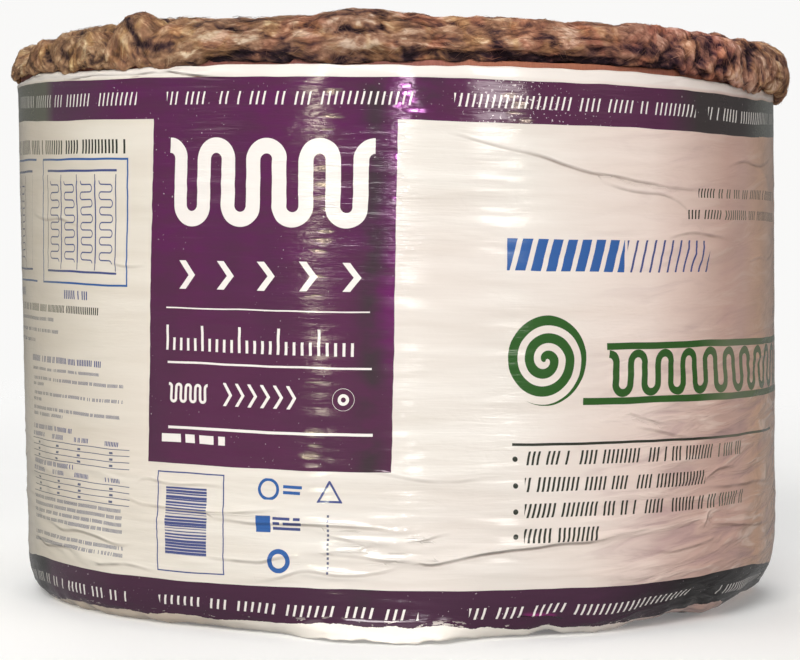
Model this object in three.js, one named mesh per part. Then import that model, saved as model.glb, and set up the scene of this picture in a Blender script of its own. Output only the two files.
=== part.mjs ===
// Roll of kraft-faced glass wool insulation batt, standing on one end.
// Millimetres, +Z up, origin at the middle of the bottom end, on the floor.
//
// The batt is rolled up on itself round a small open eye, so it is one turned
// solid with a bore, and its turns show as rings on both ends. Its kraft paper
// face ends up on the outside of the last turn. A plastic film sleeve holds the
// roll: it stops short of the top end, where the freed wool swells out over
// its edge, and it is tucked in under the rim of the bottom end.

import * as THREE from 'three';

// ---- driving dimensions (mm) ------------------------------------------------
const FILM_R = 264;          // outer radius of the wrapped roll at mid height
const FILM_TOP = 355;        // top edge of the film above the floor
const KRAFT_TOP = 359;       // top edge of the paper facing
const ROLL_TOP = 384;        // crest of the highest turn: 381 mm batt, slightly sprung
const SHEET = 1.0;           // film and paper are drawn this thick (real: about 0.06 and 0.25)
const GAP = 0.3;             // clearance between faces that touch
const BORE_R = 15;           // eye of the roll
const TURNS = 11;            // turns between the eye and the facing
const CAP_R = 271;           // how far the wool swells over the edge of the film
const LIP_R = 236;           // free edge of the film, tucked under the bottom end
const LIP_Z = 0.5;           // the tucked film stays just clear of the floor
const GROOVE_TOP = 7;        // depth of the groove between turns, top end
const GROOVE_BASE = 4;       // the same on the bottom end
const SEGMENTS = 48;         // facets round the roll

// Crest height of each turn on the top end, from the eye outwards.
const CRESTS = [379, 381, 380, 382, 383, 381, 382, 384, 382, 383, 384];

// ---- outline of the outside of the film, top to bottom, as [radius, height] --
// Almost straight, a little narrower at the foot, then rounded under the roll.
const FILM_OUTLINE = [
  [FILM_R + 0.6, FILM_TOP],
  [FILM_R, 190],
  [FILM_R - 1.0, 52],
  [FILM_R - 2.2, 33],
  [FILM_R - 4.6, 21],
  [FILM_R - 8.6, 11.5],
  [FILM_R - 14.5, 4.6],
  [FILM_R - 21.0, 1.3],
  [LIP_R, LIP_Z],
];

// The same outline moved inwards by a distance, square to the surface.
function inset(outline, distance) {
  return outline.map(([r, z], i) => {
    const a = outline[Math.max(i - 1, 0)];
    const b = outline[Math.min(i + 1, outline.length - 1)];
    const dr = b[0] - a[0];
    const dz = b[1] - a[1];
    const len = Math.hypot(dr, dz);
    // travelling downwards, the axis lies to the right-hand side
    let nr = dz / len;
    let nz = -dr / len;
    if (i === 0) { nr = -1; nz = 0; }                          // keep the top edge level
    if (i === outline.length - 1) { nr = 0; nz = 1; }          // and the lip edge upright
    return [r + nr * distance, z + nz * distance];
  });
}

// Revolves a closed outline, given anticlockwise in the (radius, height) plane,
// about +Z. LatheGeometry turns about +Y, so the result is stood up.
function turned(points) {
  const closed = [...points, points[0]].map(([r, z]) => new THREE.Vector2(r, z));
  const geometry = new THREE.LatheGeometry(closed, SEGMENTS);
  geometry.rotateX(Math.PI / 2);
  return geometry;
}

// Height of an outline where it crosses a radius, on its rounded foot.
function trimBelow(outline, radius) {
  const kept = [];
  for (let i = 0; i < outline.length; i++) {
    if (outline[i][0] < radius && i > 0) {
      const [r0, z0] = outline[i - 1];
      const [r1, z1] = outline[i];
      const t = (radius - r0) / (r1 - r0);
      kept.push([radius, z0 + t * (z1 - z0)]);
      break;
    }
    kept.push(outline[i]);
  }
  return kept;
}

// ---- film wrap --------------------------------------------------------------
const filmOuter = FILM_OUTLINE;
const filmInner = inset(FILM_OUTLINE, SHEET);
// up the outside, down the inside
const filmProfile = [...[...filmOuter].reverse(), ...filmInner];

// ---- kraft facing -----------------------------------------------------------
// It reaches a little above the film and stops part way round the bottom rim.
const KRAFT_END_R = FILM_R - 10;
const kraftOuter = trimBelow(inset(FILM_OUTLINE, SHEET + GAP), KRAFT_END_R);
const kraftInner = trimBelow(inset(FILM_OUTLINE, 2 * SHEET + GAP), KRAFT_END_R - SHEET * 0.5);
kraftOuter[0] = [kraftOuter[0][0], KRAFT_TOP];
kraftInner[0] = [kraftInner[0][0], KRAFT_TOP];
const kraftProfile = [...[...kraftOuter].reverse(), ...kraftInner];

// ---- glass wool roll --------------------------------------------------------
const woolSide = inset(FILM_OUTLINE, 2 * SHEET + 2 * GAP);
const woolR = woolSide[0][0];
const pitch = (woolR - BORE_R) / TURNS;
const ledge = KRAFT_TOP + GAP;

const wool = [];
// bottom end, from the eye outwards: flat lands on the floor, a groove between turns
wool.push([BORE_R + 3, 0]);
for (let k = 1; k < TURNS - 1; k++) {
  const r = BORE_R + k * pitch;
  wool.push([r - 4.5, 0], [r, GROOVE_BASE], [r + 4.5, 0]);
}
wool.push([LIP_R - GAP, 0]);
// round the bottom rim, inside the facing and the tucked film
const foot = [...woolSide].reverse();
foot[0] = [LIP_R - GAP, foot[0][1]];
wool.push(...foot.slice(0, -1));
// up to the ledge over the edge of the paper, then the swollen rim
wool.push([woolR, ledge]);
wool.push([CAP_R - 3.5, ledge + 1.2]);
wool.push([CAP_R, ledge + 8]);
wool.push([CAP_R - 1.5, ROLL_TOP - 8]);
wool.push([CAP_R - 8, ROLL_TOP - 1.5]);
wool.push([CAP_R - 15, CRESTS[TURNS - 1]]);
// top end, from the rim inwards: rounded crests, a groove between turns
for (let k = TURNS - 1; k >= 1; k--) {
  const r = BORE_R + k * pitch;
  wool.push([r + 5, CRESTS[k]]);
  wool.push([r, Math.min(CRESTS[k], CRESTS[k - 1]) - GROOVE_TOP]);
  wool.push([r - 5, CRESTS[k - 1]]);
}
wool.push([BORE_R + 4, CRESTS[0]]);
wool.push([BORE_R, CRESTS[0] - 5]);
// down the eye
wool.push([BORE_R, 3]);

// ---- scene graph --------------------------------------------------------------
const glassWool = new THREE.MeshStandardMaterial({ color: 0x8a6747, roughness: 1.0, metalness: 0 });
const kraftPaper = new THREE.MeshStandardMaterial({ color: 0xad6450, roughness: 0.75, metalness: 0 });
const printedFilm = new THREE.MeshStandardMaterial({ color: 0xe6dccf, roughness: 0.35, metalness: 0 });

const group = new THREE.Group();

const woolMesh = new THREE.Mesh(turned(wool), glassWool);
woolMesh.name = 'glass_wool_roll';
group.add(woolMesh);

const kraftMesh = new THREE.Mesh(turned(kraftProfile), kraftPaper);
kraftMesh.name = 'kraft_facing';
group.add(kraftMesh);

const filmMesh = new THREE.Mesh(turned(filmProfile), printedFilm);
filmMesh.name = 'film_wrap';
group.add(filmMesh);

export default group;
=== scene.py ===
import math

import bpy
import numpy as np
from mathutils import Matrix, Vector


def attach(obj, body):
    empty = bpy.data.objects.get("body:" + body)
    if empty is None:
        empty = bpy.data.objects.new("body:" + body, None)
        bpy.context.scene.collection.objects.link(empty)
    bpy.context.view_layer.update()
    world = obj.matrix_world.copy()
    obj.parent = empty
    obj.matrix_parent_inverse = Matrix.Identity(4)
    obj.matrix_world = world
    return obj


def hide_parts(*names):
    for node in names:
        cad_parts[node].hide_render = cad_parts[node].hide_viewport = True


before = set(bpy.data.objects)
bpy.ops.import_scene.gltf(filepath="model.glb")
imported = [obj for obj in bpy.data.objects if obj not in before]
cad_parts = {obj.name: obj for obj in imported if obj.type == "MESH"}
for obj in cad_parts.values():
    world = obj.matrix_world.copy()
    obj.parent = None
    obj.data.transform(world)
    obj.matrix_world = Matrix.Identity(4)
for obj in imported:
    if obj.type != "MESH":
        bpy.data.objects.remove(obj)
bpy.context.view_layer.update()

# ---------------------------------------------------------------- sizes, mm
R = 264.0                      # film radius at mid height
LOOP = 2.0 * math.pi * R       # film length once round
FILM_TOP = 355.0
KRAFT_TOP = 359.0
WOOL_R = 262.0                 # outside of the wound wool
BORE_R = 15.0
TURNS = 11
PITCH = (WOOL_R - BORE_R) / TURNS
CRESTS = [384, 383, 384, 382, 381, 383, 382, 380, 381, 379, 378, 377]
SEAM = math.radians(196.0)     # where the batt's outer end lies, at the back
OUTLINE = [(264.6, 355.0), (264.35, 280.0), (264.0, 190.0), (263.6, 110.0), (263.0, 52.0), (261.8, 33.0),
           (259.4, 21.0), (255.4, 11.5), (249.5, 4.6), (243.0, 1.3), (236.0, 0.5)]
MM = 0.001


# ---------------------------------------------------------------- noise
def _hash(ix, iy, seed):
    m = np.uint64(0xFFFFFFFF)
    h = (ix.astype(np.int64) * 374761393 + iy.astype(np.int64) * 668265263 + int(seed) * 1442695041).astype(np.uint64) & m
    h = ((h ^ (h >> np.uint64(13))) * np.uint64(1274126177)) & m
    h = ((h ^ (h >> np.uint64(16))) * np.uint64(2246822519)) & m
    h = (h ^ (h >> np.uint64(15))) & m
    return h.astype(np.float64) / 4294967296.0


def perlin(x, y, seed, px=0):
    """Gradient noise, about -1 to 1, that repeats every px cells along x."""
    x, y = np.broadcast_arrays(np.asarray(x, float), np.asarray(y, float))
    x0, y0 = np.floor(x), np.floor(y)
    fx, fy = x - x0, y - y0
    ix, iy = x0.astype(np.int64), y0.astype(np.int64)

    def corner(dx, dy):
        jx = ix + dx
        if px:
            jx = np.mod(jx, px)
        a = _hash(jx, iy + dy, seed) * (2 * math.pi)
        return np.cos(a) * (fx - dx) + np.sin(a) * (fy - dy)

    u = fx * fx * fx * (fx * (fx * 6 - 15) + 10)
    v = fy * fy * fy * (fy * (fy * 6 - 15) + 10)
    a = corner(0, 0) * (1 - u) + corner(1, 0) * u
    b = corner(0, 1) * (1 - u) + corner(1, 1) * u
    return (a * (1 - v) + b * v) * 1.55


def fbm(x, y, seed, px=0, octaves=3, gain=0.5):
    total, amp = 0.0, 1.0
    for k in range(octaves):
        total = total + amp * perlin(x * 2 ** k, y * 2 ** k, seed + 17 * k, px * 2 ** k)
        amp *= gain
    return total


def worley(x, y, seed, px=0):
    """Distances to the nearest and second nearest cell points."""
    x, y = np.broadcast_arrays(np.asarray(x, float), np.asarray(y, float))
    ix, iy = np.floor(x).astype(np.int64), np.floor(y).astype(np.int64)
    f1 = np.full(x.shape, 9.0)
    f2 = np.full(x.shape, 9.0)
    for dx in (-1, 0, 1):
        for dy in (-1, 0, 1):
            jx, jy = ix + dx, iy + dy
            wx = np.mod(jx, px) if px else jx
            cx = jx + 0.12 + 0.76 * _hash(wx, jy, seed)
            cy = jy + 0.12 + 0.76 * _hash(wx, jy, seed + 101)
            d = np.hypot(x - cx, y - cy)
            f2 = np.minimum(f2, np.maximum(f1, d))
            f1 = np.minimum(f1, d)
    return f1, f2


def smooth(a, b, x):
    t = np.clip((np.asarray(x, float) - a) / (b - a), 0.0, 1.0)
    return t * t * (3 - 2 * t)


def knots(x, pts):
    """Smooth curve through (x, value) knots, flat past the ends."""
    xs = np.array([p[0] for p in pts], float)
    ys = np.array([p[1] for p in pts], float)
    x = np.clip(np.asarray(x, float), xs[0], xs[-1])
    i = np.clip(np.searchsorted(xs, x, side="right") - 1, 0, len(xs) - 2)
    t = (x - xs[i]) / (xs[i + 1] - xs[i])
    t = t * t * (3 - 2 * t)
    return ys[i] * (1 - t) + ys[i + 1] * t


# ---------------------------------------------------------------- the roll's own lean and slump, shared by every piece
def lean(z):
    return -0.0275 * (z - 173.2)


SLUMP = [(-180, 1.0), (-130, 0.0), (-100, -2.0), (-78, -4.6), (-68, -6.4), (-60, -6.4), (-48, -2.6), (-25, 0.0), (8, 0.0), (22, 1.0), (34, 5.0),
         (46, 6.0), (56, 6.0), (64, 8.0), (72, 9.0), (80, 6.0), (92, -2.0), (110, -2.0), (140, 1.0), (180, 1.0)]
LIFT = [(-42, 0.0), (-38, 0.0), (-34, 1.8), (-30, 1.6), (-26, 1.1), (-22, 1.1), (-18, 0.0), (-14, 0.0), (-10, 1.0), (-6, 0.8), (-2, 0.0), (2, 0.2), (6, 2.0),
        (10, 0.0), (14, 0.0), (18, 0.7), (22, 3.4), (26, 0.4), (30, 0.0), (34, 0.8), (38, 3.8), (42, 4.6), (46, 7.0), (50, 6.5), (54, 3.3), (58, 2.2),
        (62, 2.6), (67, 5.2), (74, 6.5), (82, 5.0), (94, 0.0)]


def slump(theta_deg):
    """How far the bottom corner is pressed in, in mm, round the roll."""
    return knots(theta_deg, SLUMP)


def foot(theta_deg):
    """1 where the foot spreads over the floor, at the front."""
    return knots(theta_deg, [(-19, 0.0), (-6, 1.0), (4, 1.0), (13, 0.0)])


def lift(theta_deg):
    """How far the bottom corner is raised off the floor, in mm."""
    return knots(theta_deg, LIFT)


def place(r, th, z):
    """Cylinder coordinates, mm and radians, to row-frame metres."""
    deg = np.degrees(np.mod(th + math.pi, 2 * math.pi) - math.pi)
    k = np.clip((50.0 - z) / 50.0, 0.0, 1.0) ** 1.5
    out = smooth(190.0, 258.0, r)
    # at the front the film runs straight down and turns out over the floor in a bead
    edge_r = np.interp(z, OP[::-1, 1], OP[::-1, 0])
    bead = (263.2 + 6.8 * smooth(14.0, 5.0, z) - edge_r) * smooth(60.0, 30.0, z) * foot(deg) * smooth(234.0, 247.0, r)
    rise = lift(deg) * smooth(34.0, 9.0, z) * smooth(165.0, 238.0, r)
    r = r - slump(deg) * k * out + bead
    z = z + rise
    x = r * np.sin(th) + lean(z)
    y = -r * np.cos(th)
    return np.stack([x, y, z], -1) * MM


# ---------------------------------------------------------------- mesh helpers
def make_mesh(name, co, faces, material, smooth_shading=True):
    """A mesh from an (n,3) array and an (m,4) or (m,3) array of corners."""
    me = bpy.data.meshes.new(name)
    faces = [np.asarray(f, np.int32) for f in (faces if isinstance(faces, list) else [faces]) if len(f)]
    counts = np.concatenate([np.full(len(f), f.shape[1], np.int32) for f in faces])
    loops = np.concatenate([f.ravel() for f in faces]).astype(np.int32)
    me.vertices.add(len(co))
    me.vertices.foreach_set("co", np.asarray(co, np.float32).ravel())
    me.loops.add(len(loops))
    me.loops.foreach_set("vertex_index", loops)
    me.polygons.add(len(counts))
    starts = np.concatenate([[0], np.cumsum(counts)[:-1]]).astype(np.int32)
    me.polygons.foreach_set("loop_start", starts)
    me.polygons.foreach_set("loop_total", counts)
    me.polygons.foreach_set("use_smooth", np.full(len(counts), smooth_shading, bool))
    me.update(calc_edges=True)
    ob = bpy.data.objects.new(name, me)
    bpy.context.scene.collection.objects.link(ob)
    me.materials.append(material)
    return ob


def ring_faces(rows, cols, wrap_rows=True, wrap_cols=True, base=0, flip=False):
    """Quads of a (rows, cols) grid of points, row major."""
    i = np.arange(rows if wrap_rows else rows - 1)
    j = np.arange(cols if wrap_cols else cols - 1)
    I, J = np.meshgrid(i, j, indexing="ij")
    I2, J2 = (I + 1) % rows, (J + 1) % cols
    q = np.stack([I * cols + J, I * cols + J2, I2 * cols + J2, I2 * cols + J], -1).reshape(-1, 4) + base
    return q[:, ::-1] if flip else q


def point_attr(ob, name, values, kind="FLOAT"):
    a = ob.data.attributes.new(name, kind, "POINT")
    if kind == "FLOAT":
        a.data.foreach_set("value", np.asarray(values, np.float32).ravel())
    elif kind == "FLOAT_VECTOR":
        a.data.foreach_set("vector", np.asarray(values, np.float32).ravel())
    else:
        a.data.foreach_set("color", np.asarray(values, np.float32).ravel())


def face_attr(ob, name, values, kind="FLOAT"):
    a = ob.data.attributes.new(name, kind, "FACE")
    if kind == "FLOAT":
        a.data.foreach_set("value", np.asarray(values, np.float32).ravel())
    elif kind == "FLOAT_VECTOR":
        a.data.foreach_set("vector", np.asarray(values, np.float32).ravel())
    else:
        a.data.foreach_set("color", np.asarray(values, np.float32).ravel())


def uv_layer(ob, name, uv):
    layer = ob.data.uv_layers.new(name=name)
    layer.uv.foreach_set("vector", np.asarray(uv, np.float32).ravel())
    return layer


def srgb(r, g, b):
    """8-bit screen colour to linear."""
    out = []
    for c in (r, g, b):
        c = c / 255.0
        out.append(c / 12.92 if c <= 0.04045 else ((c + 0.055) / 1.055) ** 2.4)
    return tuple(out)


# ---------------------------------------------------------------- node helpers
class Graph:
    def __init__(self, name):
        self.mat = bpy.data.materials.new(name)
        self.mat.use_nodes = True
        self.nt = self.mat.node_tree
        self.nt.nodes.clear()
        self.out = self.nt.nodes.new("ShaderNodeOutputMaterial")
        self.bsdf = self.nt.nodes.new("ShaderNodeBsdfPrincipled")
        self.nt.links.new(self.bsdf.outputs[0], self.out.inputs["Surface"])

    def put(self, socket, value):
        if value is None:
            return
        if isinstance(value, bpy.types.NodeSocket):
            self.nt.links.new(value, socket)
        elif isinstance(value, (tuple, list)):
            want = len(socket.default_value)
            value = tuple(value)[:want] + (1.0,) * max(0, want - len(value))
            socket.default_value = value
        else:
            socket.default_value = value

    def m(self, op, a, b=None, c=None, clamp=False):
        n = self.nt.nodes.new("ShaderNodeMath")
        n.operation = op
        n.use_clamp = clamp
        self.put(n.inputs[0], a)
        if b is not None:
            self.put(n.inputs[1], b)
        if c is not None:
            self.put(n.inputs[2], c)
        return n.outputs[0]

    def less(self, a, b):
        return self.m("LESS_THAN", a, b)

    def more(self, a, b):
        return self.m("GREATER_THAN", a, b)

    def is_type(self, a, k):
        return self.m("COMPARE", a, float(k), 0.4)

    def mix(self, fac, a, b, blend="MIX"):
        n = self.nt.nodes.new("ShaderNodeMix")
        n.data_type = "RGBA"
        n.blend_type = blend
        self.put(n.inputs[0], fac)
        self.put(n.inputs[6], a)
        self.put(n.inputs[7], b)
        return n.outputs[2]

    def mixf(self, fac, a, b):
        n = self.nt.nodes.new("ShaderNodeMix")
        n.data_type = "FLOAT"
        self.put(n.inputs[0], fac)
        self.put(n.inputs[2], a)
        self.put(n.inputs[3], b)
        return n.outputs[0]

    def attr(self, name):
        n = self.nt.nodes.new("ShaderNodeAttribute")
        n.attribute_name = name
        return n

    def uv(self, name):
        n = self.nt.nodes.new("ShaderNodeUVMap")
        n.uv_map = name
        return n.outputs[0]

    def sep(self, v):
        n = self.nt.nodes.new("ShaderNodeSeparateXYZ")
        self.put(n.inputs[0], v)
        return n.outputs

    def comb(self, x, y, z=0.0):
        n = self.nt.nodes.new("ShaderNodeCombineXYZ")
        self.put(n.inputs[0], x)
        self.put(n.inputs[1], y)
        self.put(n.inputs[2], z)
        return n.outputs[0]

    def vmul(self, v, k):
        n = self.nt.nodes.new("ShaderNodeVectorMath")
        n.operation = "MULTIPLY"
        self.put(n.inputs[0], v)
        self.put(n.inputs[1], k)
        return n.outputs[0]

    def vadd(self, v, k):
        n = self.nt.nodes.new("ShaderNodeVectorMath")
        n.operation = "ADD"
        self.put(n.inputs[0], v)
        self.put(n.inputs[1], k)
        return n.outputs[0]

    def vmad(self, v, k, c):
        n = self.nt.nodes.new("ShaderNodeVectorMath")
        n.operation = "MULTIPLY_ADD"
        self.put(n.inputs[0], v)
        self.put(n.inputs[1], k)
        self.put(n.inputs[2], c)
        return n.outputs[0]

    def dot(self, v, k=None):
        n = self.nt.nodes.new("ShaderNodeVectorMath")
        n.operation = "DOT_PRODUCT"
        self.put(n.inputs[0], v)
        self.put(n.inputs[1], v if k is None else k)
        return n.outputs["Value"]

    def noise(self, v, scale, detail=2.0, rough=0.5, distort=0.0, out=0):
        n = self.nt.nodes.new("ShaderNodeTexNoise")
        self.put(n.inputs["Vector"], v)
        n.inputs["Scale"].default_value = scale
        n.inputs["Detail"].default_value = detail
        n.inputs["Roughness"].default_value = rough
        n.inputs["Distortion"].default_value = distort
        return n.outputs[out]

    def white(self, v):
        n = self.nt.nodes.new("ShaderNodeTexWhiteNoise")
        n.noise_dimensions = "3D"
        self.put(n.inputs["Vector"], v)
        return n.outputs["Value"]

    def ramp(self, fac, stops, interp="LINEAR"):
        n = self.nt.nodes.new("ShaderNodeValToRGB")
        n.color_ramp.interpolation = interp
        cr = n.color_ramp
        cr.elements[0].position, cr.elements[1].position = stops[0][0], stops[-1][0]
        cr.elements[0].color = tuple(stops[0][1]) + (1.0,)
        cr.elements[1].color = tuple(stops[-1][1]) + (1.0,)
        for p, c in stops[1:-1]:
            e = cr.elements.new(p)
            e.color = tuple(c) + (1.0,)
        self.put(n.inputs[0], fac)
        return n.outputs[0]

    def span(self, v, a, b, lo=0.0, hi=1.0):
        n = self.nt.nodes.new("ShaderNodeMapRange")
        n.clamp = True
        self.put(n.inputs[0], v)
        self.put(n.inputs[1], a)
        self.put(n.inputs[2], b)
        self.put(n.inputs[3], lo)
        self.put(n.inputs[4], hi)
        return n.outputs[0]

    def bump(self, height, strength, distance, normal=None):
        n = self.nt.nodes.new("ShaderNodeBump")
        n.inputs["Strength"].default_value = strength
        n.inputs["Distance"].default_value = distance
        self.put(n.inputs["Height"], height)
        if normal is not None:
            self.put(n.inputs["Normal"], normal)
        return n.outputs[0]

    def coords(self):
        return self.nt.nodes.new("ShaderNodeTexCoord").outputs["Object"]

    def set(self, **k):
        for name, value in k.items():
            self.put(self.bsdf.inputs[name.replace("_", " ")], value)


# ---------------------------------------------------------------- camera
cam_data = bpy.data.cameras.new("photo_camera")
cam_data.sensor_width = 36.0
cam_data.sensor_fit = "HORIZONTAL"
cam_data.lens = 120.6
cam_data.clip_start, cam_data.clip_end = 0.05, 100.0
cam = bpy.data.objects.new("photo_camera", cam_data)
bpy.context.scene.collection.objects.link(cam)
pitch, yaw, roll = math.radians(2.094), math.radians(0.016), math.radians(0.83)
fw = Vector((math.sin(yaw) * math.cos(pitch), math.cos(yaw) * math.cos(pitch), -math.sin(pitch)))
r0 = fw.cross(Vector((0, 0, 1))).normalized()
u0 = r0.cross(fw)
right = r0 * math.cos(roll) + u0 * math.sin(roll)
up = -r0 * math.sin(roll) + u0 * math.cos(roll)
cam.matrix_world = Matrix((
    (right.x, up.x, -fw.x, 0.0),
    (right.y, up.y, -fw.y, -1.9008),
    (right.z, up.z, -fw.z, 0.2524),
    (0, 0, 0, 1)))
bpy.context.scene.camera = cam


# ---------------------------------------------------------------- film outline by its length
def outline_table(points, inset=0.0):
    p = np.array(points, float)
    ext = np.vstack([2 * p[0] - p[1], p, 2 * p[-1] - p[-2]])
    dense = []
    for i in range(1, len(ext) - 2):
        a, b, c, d = ext[i - 1], ext[i], ext[i + 1], ext[i + 2]
        n = 60
        for t in np.arange(n) / n:
            dense.append(0.5 * ((2 * b) + (-a + c) * t + (2 * a - 5 * b + 4 * c - d) * t * t + (-a + 3 * b - 3 * c + d) * t ** 3))
    dense.append(p[-1])
    dense = np.array(dense)
    seg = np.hypot(*np.diff(dense, axis=0).T)
    v = np.concatenate([[0], np.cumsum(seg)])
    tan = np.gradient(dense, v, axis=0)
    tan /= np.hypot(tan[:, 0], tan[:, 1])[:, None]
    nor = np.stack([-tan[:, 1], tan[:, 0]], 1)      # outward: +r on the side, -z under the base
    nor *= np.where(nor[:1, 0] < 0, -1, 1)
    return v, dense - nor * inset, nor


OV, OP, ON = outline_table(OUTLINE)
VMAX = float(OV[-1])


def on_outline(v):
    return (np.interp(v, OV, OP[:, 0]), np.interp(v, OV, OP[:, 1]), np.interp(v, OV, ON[:, 0]), np.interp(v, OV, ON[:, 1]))


# ---------------------------------------------------------------- film relief
CREASES = [
    # (points (s, z) on the unrolled film, height, reach above, reach below)
    ([(26, 314.5), (36, 312.7), (64, 305.9), (90, 299.8), (104, 295.8), (125, 291.4), (148, 288.7), (168, 286.7), (182, 283.9), (211, 283.2), (228, 284)], 0.9, 6.0, 1.2),
    ([(128, 286.0), (146, 282.5), (163, 280.3), (176, 279.9), (186, 277.6), (200, 272.2), (206, 268)], 0.7, 4.4, 1.2),
    ([(183, 251.5), (186, 252.3), (199, 254.4), (213, 255.1), (232, 253.6), (250, 251)], 0.8, 2.4, 1.4),
    ([(150, 143), (156, 141.7), (165, 138.7), (178, 135.2), (190, 134)], 1.1, 2.2, 1.4),
    ([(158, 133), (163, 131.8), (178, 130.1), (199, 125.6), (215, 124)], 1.0, 2.6, 1.3),
    ([(222, 93), (229, 98.3), (238, 102.2), (249, 103.5), (262, 103)], 1.3, 2.4, 1.6),
    ([(224, 93), (231, 91.9), (267, 90.4), (307, 90.1), (330, 88)], 1.2, 2.8, 1.5),
    ([(222, 64), (226, 70.5), (228, 73.6), (231, 76)], 1.2, 2.0, 2.0),
    ([(230, 68), (237, 66.8), (259, 64.4), (283, 62.6), (316, 61.4), (335, 62)], 1.4, 3.0, 1.6),
    ([(172, 54), (186, 52.4), (200, 52.9), (219, 55.4), (240, 58)], 1.0, 3.0, 1.6),
    ([(126, 62), (135, 64.0), (144, 65.7), (156, 67.4), (172, 71)], 1.0, 2.4, 1.8),
    ([(-122, 74.5), (-113, 73.8), (-88, 71.5), (-51, 73.1), (-14, 70.7), (4, 69)], 1.2, 3.4, 1.8),
    ([(-44, 66), (-37, 64.9), (-25, 63.5), (-4, 61.4), (12, 63.3), (24, 66.8), (34, 69)], 1.3, 2.8, 1.6),
    ([(-56, 53), (-49, 54.2), (-40, 55.5), (-24, 55.9), (-18, 59.4), (-10, 60)], 1.0, 2.2, 1.6),
    ([(-124, 50), (-117, 49.8), (-88, 48.0), (-75, 51.3), (-60, 52)], 0.9, 2.6, 1.8),
    ([(-40, 55), (-32, 53.9), (11, 51.0), (24, 49.8), (49, 54.7), (74, 58.7), (101, 61.1), (129, 62.0), (160, 66.8), (178, 70)], 2.0, 3.2, 1.6),
    ([(-192, 81), (-185, 80.9), (-175, 78.5), (-165, 77.9), (-116, 77.3), (-89, 79.4), (-70, 81)], 0.9, 3.2, 2.0),
    ([(-30, 108), (0, 104), (30, 101), (62, 103)], 0.5, 3.5, 2.5),
    ([(-290, 58), (-262, 55), (-232, 56), (-200, 52), (-176, 53)], 1.1, 2.8, 1.8),
    ([(-318, 47), (-290, 43), (-262, 44), (-236, 40)], 1.0, 2.6, 1.6),
    ([(-250, 42), (-222, 38.5), (-190, 40), (-160, 37.5)], 0.9, 2.4, 1.6),
    ([(-180, 92), (-168, 95), (-150, 93), (-128, 94), (-104, 92)], 0.6, 2.6, 1.8),
    ([(-312, 262), (-288, 258), (-262, 259), (-236, 254)], 0.7, 3.0, 2.0),
    ([(-208, 232), (-190, 229), (-172, 230)], 0.6, 2.6, 1.8),
    ([(268, 178), (292, 172), (318, 173), (344, 168)], 0.8, 3.0, 1.8),
    ([(246, 300), (272, 304), (300, 301), (332, 306)], 0.8, 3.0, 1.8),
    ([(280, 236), (300, 240), (322, 238), (346, 243)], 0.7, 2.8, 1.6),
    ([(-27, 64.5), (-12, 63.0), (8, 60.6)], 0.5, 2.4, 1.8),
    ([(-90, 36.0), (-72, 39.5), (-56, 43.8), (-31, 42.2), (-11, 43.9), (8, 49.5)], 0.8, 2.6, 1.8),
    ([(-233, 353.2), (-210, 351.1), (-186, 349.7), (-173, 350.6), (-162, 352.4)], 1.1, 1.8, 1.6),
    ([(-166, 352.2), (-156, 351.5), (-144, 349.4), (-126, 347.9), (-112, 347.3), (-98, 347.0)], 1.2, 2.0, 1.6),
    ([(-258, 348.4), (-238, 349.6), (-226, 350.2), (-203, 350.0)], 0.8, 1.8, 1.5),
    ([(-330, 351.0), (-307, 353.2), (-281, 353.4)], 0.9, 1.8, 1.6),
    ([(76, 16.5), (94, 14.1), (104, 11.4), (114, 8.6)], 1.6, 1.8, 1.4),
    ([(224, 27), (236, 22), (250, 20), (262, 15)], 1.3, 2.4, 1.4),
    ([(236, 14), (256, 12), (270, 9), (290, 8)], 1.2, 2.0, 1.4),
    ([(276, 19), (292, 14), (312, 12)], 1.2, 2.2, 1.4),
]


def all_creases():
    rng = np.random.default_rng(40)
    more = []
    for _ in range(54):            # the hidden sides get creases of the same kind
        side = rng.uniform(0.235, 0.765) * LOOP
        s = side if side < LOOP / 2 else side - LOOP
        z = rng.choice([rng.uniform(40, 110), rng.uniform(110, 320)], p=[0.62, 0.38])
        n = rng.integers(3, 6)
        step = rng.uniform(16, 34)
        slope = rng.normal(0, 0.16)
        pts = [(s + k * step, z + slope * k * step + rng.normal(0, 1.6)) for k in range(n)]
        more.append((pts, rng.uniform(0.5, 1.4), rng.uniform(2.2, 3.6), rng.uniform(1.3, 2.0)))
    return CREASES + more


def rounded(pts):
    """The crease's points joined by a smooth curve."""
    p = np.array(pts, float)
    ext = np.vstack([2 * p[0] - p[1], p, 2 * p[-1] - p[-2]])
    out = []
    for i in range(1, len(ext) - 2):
        a, b, c, d = ext[i - 1], ext[i], ext[i + 1], ext[i + 2]
        for t in (0.0, 0.25, 0.5, 0.75):
            out.append(0.5 * ((2 * b) + (-a + c) * t + (2 * a - 5 * b + 4 * c - d) * t * t + (-a + 3 * b - 3 * c + d) * t ** 3))
    return np.array(out + [p[-1]])


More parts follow.
